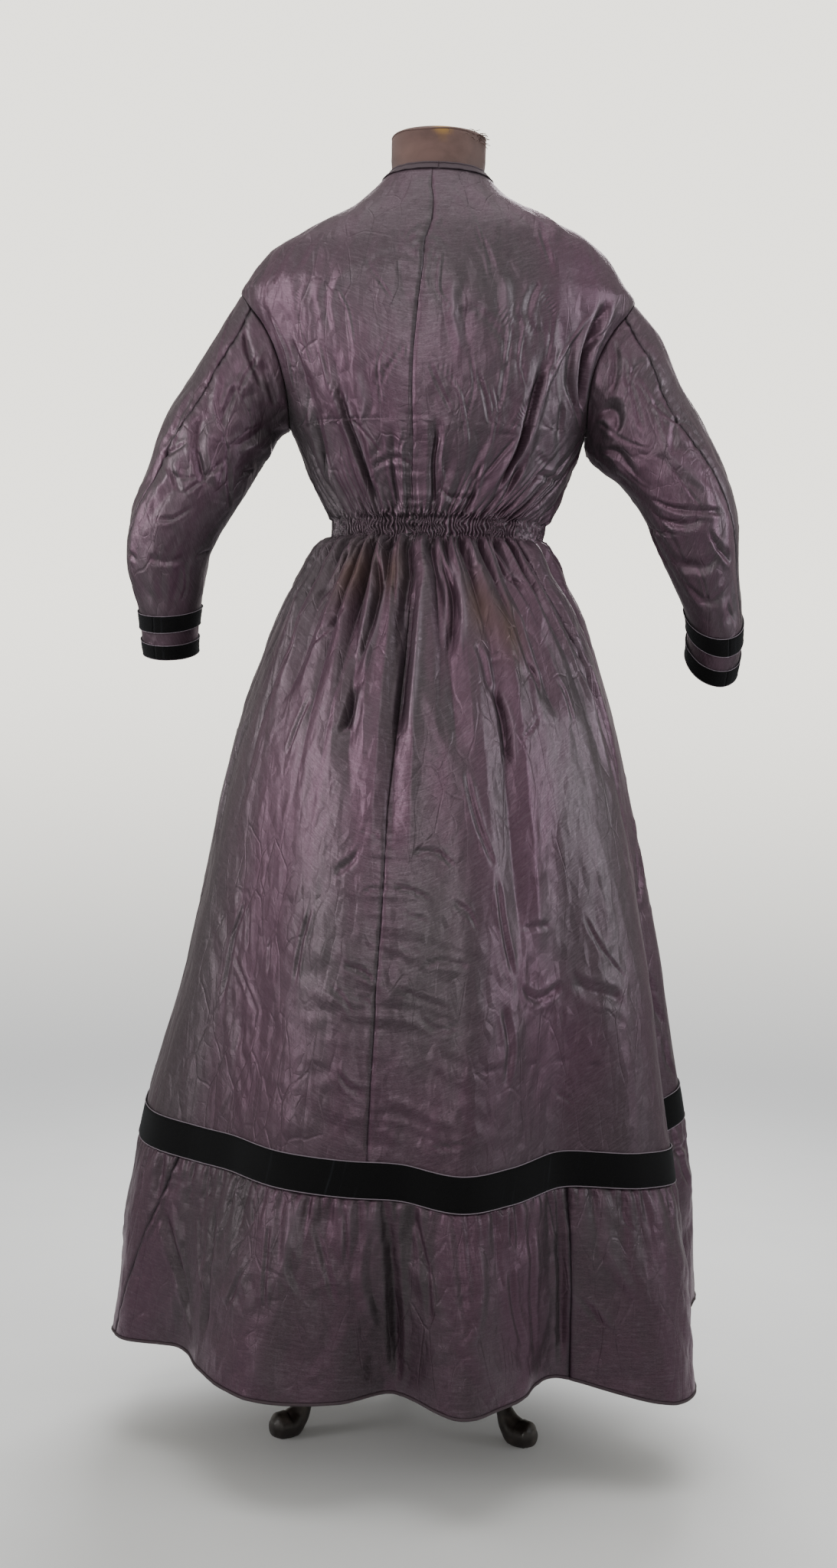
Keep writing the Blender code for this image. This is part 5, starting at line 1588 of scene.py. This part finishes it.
BUTTON_PROFILE = ((0, 0.0036), (0.0020, 0.0035), (0.0040, 0.0031), (0.0056, 0.0022),
                  (0.0064, 0.0011), (0.0062, 0.0003), (0.0050, 0.0), (0, 0.0))
BUTTON_COUNT, BUTTON_TOP, BUTTON_END = 10, 1.435, 1.000
edge_points, edge_normals = CLOTHS["front_right_silk"]
edge_levels = PANELS["front_right"][:, 0]
near_middle = int(np.argmin(np.abs(edge_points[:, :, 0] - edge_points[:, :, 0].min(axis=1)[:, None])
                            [len(edge_levels) // 2]))
buttons = []
for level in np.linspace(BUTTON_TOP, BUTTON_END, BUTTON_COUNT):
    row = int(np.argmin(np.abs(edge_levels - level)))
    place, normal = edge_points[row, near_middle], edge_normals[row, near_middle]
    normal = normal * (0, 1, 1)
    normal = normal / np.linalg.norm(normal)
    beside = np.array([1.0, 0.0, 0.0])
    axes = np.stack([beside, np.cross(normal, beside), normal])
    dome, dome_faces = turned(BUTTON_PROFILE)
    buttons.append((dome @ axes + place + normal * 0.0008, dome_faces))
points, faces = join(buttons)
button_row = make_mesh("button_row", points, faces, BUTTON_SILK)
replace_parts(button_row, *[f"button_{number}" for number in range(1, BUTTON_COUNT + 1)])
print("buttons:", len(buttons))

# %% [markdown]
# ## The dress form
#
# The form is a limbless torso under worn brown cloth. Only its neck shows above the binding, and
# its flat end from below. The same ovals as the dress, set a little inwards, shape it down to
# the waist, and its own hips follow below.

# %% Torso and neck
NECK_RADIUS, NECK_TOP, NECK_RISE, TORSO_END = 0.0545, 1.500, 0.015, 0.800
FORM_INSET = table("level inset", (
    (1.037, 0.0045), (1.100, 0.0100), (1.300, 0.0100), (1.333, 0.0055), (1.360, 0.0033),
    (1.456, 0.0027),
))
HIPS = table("level half_width back_depth front_depth", (
    (1.010, 0.120, 0.086, 0.088), (0.970, 0.135, 0.098, 0.094), (0.920, 0.149, 0.108, 0.100),
    (0.860, 0.156, 0.112, 0.100), (0.815, 0.155, 0.110, 0.096), (TORSO_END, 0.148, 0.103, 0.090),
))
FORM_COLUMNS = 96


def form_rings():
    """Rings of the form from the neck's top to its flat end, each one array of points."""
    angles = np.linspace(0, 360, FORM_COLUMNS, endpoint=False)
    turn = np.radians(angles)
    rings = []
    for height, radius in ((NECK_TOP, 0.0470), (NECK_TOP - 0.0006, 0.0515),
                           (NECK_TOP - 0.0030, 0.0538), (NECK_TOP - 0.0065, NECK_RADIUS),
                           (1.488, 0.0546), (1.479, 0.0544), (NECK_LEVEL + NECK_RISE, NECK_RADIUS)):
        rings.append(np.stack([radius * np.sin(turn), -radius * np.cos(turn), height + 0 * turn],
                              axis=-1))
    for level in np.linspace(NECK_LEVEL, SHIRRING_END, 60):
        inset = float(np.interp(level, FORM_INSET["level"], FORM_INSET["inset"])) + 0.0012
        rings.append(base(angles, level) - outward(angles, level) * inset)
    for level in np.linspace(1.010, TORSO_END, 24):
        width, back, front = (curve(HIPS["level"], HIPS[name], level)
                              for name in ("half_width", "back_depth", "front_depth"))
        depth = np.where(np.cos(turn) > 0, back, front)
        x = float(oval("centre_x", level)) + width * np.sin(turn)
        rings.append(np.stack([x, -depth * np.cos(turn), level + 0 * turn], axis=-1))
    return np.stack(rings)


points, faces = closed_rings(form_rings())
spot = np.linalg.norm((points - (0.004, -0.053, NECK_TOP)) / (0.010, 0.018, 0.010), axis=-1)
worn = np.clip(1.4 - spot, 0, 1) * (points[:, 2] > 1.46)
# Painted shade: the neck darkens towards the binding, where it meets the dress
neck_edge_shade = 0.5 * ease((1.462 - points[:, 2]) / 0.014) * (points[:, 2] > 1.44)
torso = make_mesh("form_torso_cloth", points, faces, FORM_CLOTH,
                  marks={"worn": worn, "neck_edge_shade": neck_edge_shade})
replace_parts(torso, "form_torso")
print("form rings:", len(points) // FORM_COLUMNS)

# %% [markdown]
# The neck's cloth is turned over its top edge, where it has frayed at the right. A seam runs round
# the edge, and loose threads stand out of it.

# %% Neck edge and frayed threads
turn = np.radians(np.linspace(0, 360, 120, endpoint=False))
rim = np.stack([0.0538 * np.sin(turn), -0.0538 * np.cos(turn),
                NECK_TOP - 0.0035 + 0.0006 * np.sin(5 * turn)], axis=-1)
FORM_THREAD = make_thread("form_thread", (0.07, 0.04, 0.035), 800.0)
make_tubes("form_neck_rim", [rim], 0.0010, FORM_THREAD, closed=True)
chance = np.random.default_rng(7)
frays = []
for _ in range(44):
    angle = math.radians(chance.normal(58, 14))
    place = np.array([0.0542 * math.sin(angle), -0.0542 * math.cos(angle),
                      NECK_TOP - 0.001 - 0.012 * chance.uniform() ** 2])
    away = np.array([math.sin(angle), -math.cos(angle), chance.uniform(-0.6, 0.2)])
    length = chance.uniform(0.002, 0.008)
    share = np.linspace(0, 1, 5)[:, None]
    sag = np.array([0.0, 0.0, -1.0]) * share ** 2 * length * chance.uniform(-0.2, 0.7)
    drift = np.array([chance.normal(0, 0.3), chance.normal(0, 0.3), 0.0]) * share ** 2 * length
    path = np.minimum(place + away * share * length + sag + drift, [9, 9, NECK_TOP + 0.002])
    frays.append(path)
make_tubes("form_neck_frays", frays, 0.00034, FORM_THREAD)
print("loose threads:", len(frays))

# %% [markdown]
# ## The stand
#
# An iron pole rises from a turned hub on three curved legs with pad feet. Turned pieces are
# profiles spun round the pole, and each leg is a loft of circles along a bent line.

# %% Pole, hub and collar
COLLAR_TOP, HUB_TOP, POLE_RADIUS = 0.7997, 0.215, 0.0125
COLLAR = ((0, 0.0), (0.0335, 0.0), (0.0352, 0.0015), (0.0360, 0.0050), (0.0350, 0.0085),
          (0.0312, 0.0130), (0.0290, 0.0165), (0.0220, 0.0225), (0.0200, 0.0258), (0, 0.026))
HUB = ((0, 0.0), (0.0160, 0.0), (0.0172, 0.0020), (0.0208, 0.0090), (0.0210, 0.0130),
       (0.0172, 0.0200), (0.0160, 0.0240), (0.0190, 0.0310), (0.0262, 0.0390), (0.0270, 0.0430),
       (0.0270, 0.1040), (0.0262, 0.1065), (0.0205, 0.1160), (0.0150, 0.1205), (0, 0.125))
pole_top = COLLAR_TOP - 0.0263
POLE = ((0, 0.0), (0.0118, 0.0), (POLE_RADIUS, 0.0007), (POLE_RADIUS, 0.20),
        (POLE_RADIUS, pole_top - HUB_TOP - 0.001), (0.0118, pole_top - HUB_TOP - 0.0003),
        (0, pole_top - HUB_TOP - 0.0003))
TURNED = (("form_collar", COLLAR_TOP, COLLAR), ("form_pole", pole_top, POLE),
          ("form_hub", HUB_TOP, HUB))
for piece, top, profile in TURNED:
    points, faces = turned([(radius, top - fall) for radius, fall in profile], 40)
    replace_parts(make_mesh(f"{piece}_iron", points, faces, IRON), piece)
print("turned pieces:", len(TURNED))

# %% Legs
LEG = np.array((  # distance from the pole, height and radius of each ring
    (0.0275, 0.132, 0.0130), (0.0480, 0.139, 0.0125), (0.0700, 0.124, 0.0110),
    (0.0920, 0.095, 0.0095), (0.1120, 0.066, 0.0085), (0.1290, 0.043, 0.0085),
    (0.1420, 0.020, 0.0135), (0.1540, 0.011, 0.0170), (0.1660, 0.010, 0.0165),
    (0.1740, 0.010, 0.0085),
))
LEG_TURN = -92.0
for number in range(3):
    heading = math.radians(LEG_TURN + 360 * (number + 0.5) / 3)
    out = np.array([math.cos(heading), math.sin(heading), 0.0])
    beside = np.array([-math.sin(heading), math.cos(heading), 0.0])
    reach, height, radius = curve(np.arange(len(LEG)), LEG, np.linspace(0, len(LEG) - 1, 73)).T
    slope = np.stack([np.gradient(reach), np.gradient(height)], axis=-1)
    slope = slope / np.linalg.norm(slope, axis=-1, keepdims=True)
    slope[0] = (1.0, 0.0)
    over = -slope[:, 1:] * out + slope[:, :1] * np.array([0.0, 0.0, 1.0])
    turn = np.linspace(0, 2 * math.pi, 28, endpoint=False)
    rings = (reach[:, None] * out + height[:, None] * np.array([0.0, 0.0, 1.0]))[:, None]
    rings = rings + radius[:, None, None] * (np.cos(turn)[:, None] * over[:, None]
                                             + np.sin(turn)[:, None] * beside)
    rings[..., 2] = np.maximum(rings[..., 2], 0.0)
    points, faces = closed_rings(rings)
    leg = make_mesh(f"form_leg_{number + 1}_iron", points, faces, IRON)
    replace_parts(leg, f"form_leg_{number + 1}")
print("triangles in all:", TOTALS["triangles"])

# %% [markdown]
# ## Floor, walls and light
#
# The dress stands on a pale floor before a pale wall, in soft daylight. A wall would block the
# camera in other views, so the floor is a wide disc that fades into a background of the
# same colour. Large area lights stand in for the windows and the room. The three low ones have
# a narrow beam, which keeps them off the floor and puts more of their light on the silk.

# %% Floor
FLOOR_RADIUS = 3.2
FLOOR_GREY, FLOOR_PALE = (0.84, 0.86, 0.88), (0.86, 0.88, 0.90)
FLOOR_SIDES = 96


def make_floor_finish():
    """Matte paint with faint clouds, fading to nothing towards the disc's edge, by distance."""
    floor = Finish("floor_paint", FLOOR_GREY, 0.75)
    place = floor.add("ShaderNodeTexCoord").outputs["Object"]
    flat = floor.add("ShaderNodeVectorMath", {0: place, 1: (1.0, 1.0, 0.0)}, operation="MULTIPLY")
    far = floor.add("ShaderNodeVectorMath", {0: flat.outputs[0]}, operation="LENGTH")
    fade = floor.ramp(far.outputs["Value"], 0.55, 2.6)
    marks = floor.noise("Object", (6.0, 6.0, 6.0), 5.0)
    color = floor.blend(floor.ramp(marks, 0.3, 0.7), FLOOR_GREY, FLOOR_PALE)
    floor.surface({"Base Color": color})
    clear = floor.add("ShaderNodeBsdfTransparent")
    mix = floor.add("ShaderNodeMixShader", {
        0: fade, 1: floor.shader.outputs[0], 2: clear.outputs[0]})
    floor.put(floor.tree.nodes["Material Output"].inputs["Surface"], mix.outputs[0])
    return floor.material


turn = np.linspace(0, 2 * math.pi, FLOOR_SIDES, endpoint=False)
disc = np.stack([FLOOR_RADIUS * np.cos(turn), FLOOR_RADIUS * np.sin(turn), 0 * turn - 0.0005], -1)
floor_mesh = bpy.data.meshes.new("floor")
floor_mesh.from_pydata(disc.tolist(), [], [list(range(FLOOR_SIDES))])
floor_mesh.materials.append(make_floor_finish())
floor = bpy.data.objects.new("floor", floor_mesh)
bpy.context.scene.collection.objects.link(floor)
print("floor radius:", FLOOR_RADIUS)

# %% Background
WALL_HIGH, WALL_LOW, FILL = (2.40, 2.32, 2.10), (0.78, 0.79, 0.80), 0.24
world = bpy.data.worlds.new("studio")
bpy.context.scene.world = world
world.use_nodes = True
sky = Nodes(world.node_tree)
direction = sky.add("ShaderNodeTexCoord").outputs["Generated"]
height = sky.add("ShaderNodeSeparateXYZ", {0: direction}).outputs["Z"]
rise = sky.add("ShaderNodeMapRange", {"Value": height, "From Min": -0.22, "From Max": 0.06},
               interpolation_type="SMOOTHSTEP").outputs["Result"]
wall = sky.add("ShaderNodeMix", {"Factor": rise, 6: (*WALL_LOW, 1.0), 7: (*WALL_HIGH, 1.0)},
               data_type="RGBA").outputs[2]
seen = sky.add("ShaderNodeLightPath").outputs["Is Camera Ray"]
strength = sky.add("ShaderNodeMapRange", {"Value": seen, "To Min": FILL}).outputs["Result"]
background = world.node_tree.nodes["Background"]
sky.put(background.inputs["Color"], wall)
sky.put(background.inputs["Strength"], strength)
print("background ready")

# %% Lights
LIGHTS = (  # place, where it points, size, watts, beam in degrees, colour
    ("window_left", (-2.5, -0.9, 1.6), (0.0, 0.0, 1.18), 1.6, 6.5, 46, (1.0, 0.97, 0.96)),
    ("window_right", (2.5, -0.7, 1.6), (0.0, 0.0, 1.18), 1.6, 5.0, 46, (0.97, 0.98, 1.0)),
    ("room", (-0.4, -3.2, 1.9), (0.0, 0.0, 1.20), 1.8, 4.3, 44, (1.0, 0.98, 0.97)),
    ("ceiling", (0.0, -0.2, 3.0), (0.0, 0.0, 1.0), 2.4, 27.0, 180, (1.0, 0.99, 0.97)),
    ("behind", (0.3, 2.6, 2.2), (0.0, 0.0, 0.9), 2.0, 84.0, 180, (1.0, 0.99, 0.98)),
)
for name, place, target, size, watts, beam, color in LIGHTS:
    lamp = bpy.data.lights.new(name, "AREA")
    lamp.shape = "DISK"
    lamp.size, lamp.energy, lamp.color = size, watts, color
    lamp.spread = math.radians(beam)
    holder = bpy.data.objects.new(name, lamp)
    back = np.array(place) - np.array(target)
    back = back / np.linalg.norm(back)
    side = np.cross((0.0, 1.0, 0.0) if abs(back[2]) > 0.9 else (0.0, 0.0, 1.0), back)
    side = side / np.linalg.norm(side)
    over = np.cross(back, side)
    holder.matrix_world = Matrix([[side[i], over[i], back[i], place[i] + PLACE[i]]
                                  for i in range(3)] + [[0.0, 0.0, 0.0, 1.0]])
    bpy.context.scene.collection.objects.link(holder)
print("lights:", len(LIGHTS))

# %% [markdown]
# ## Bring the scene up to date
#
# The view layer is updated once every piece is made.

# %% Update the view layer
bpy.context.view_layer.update()
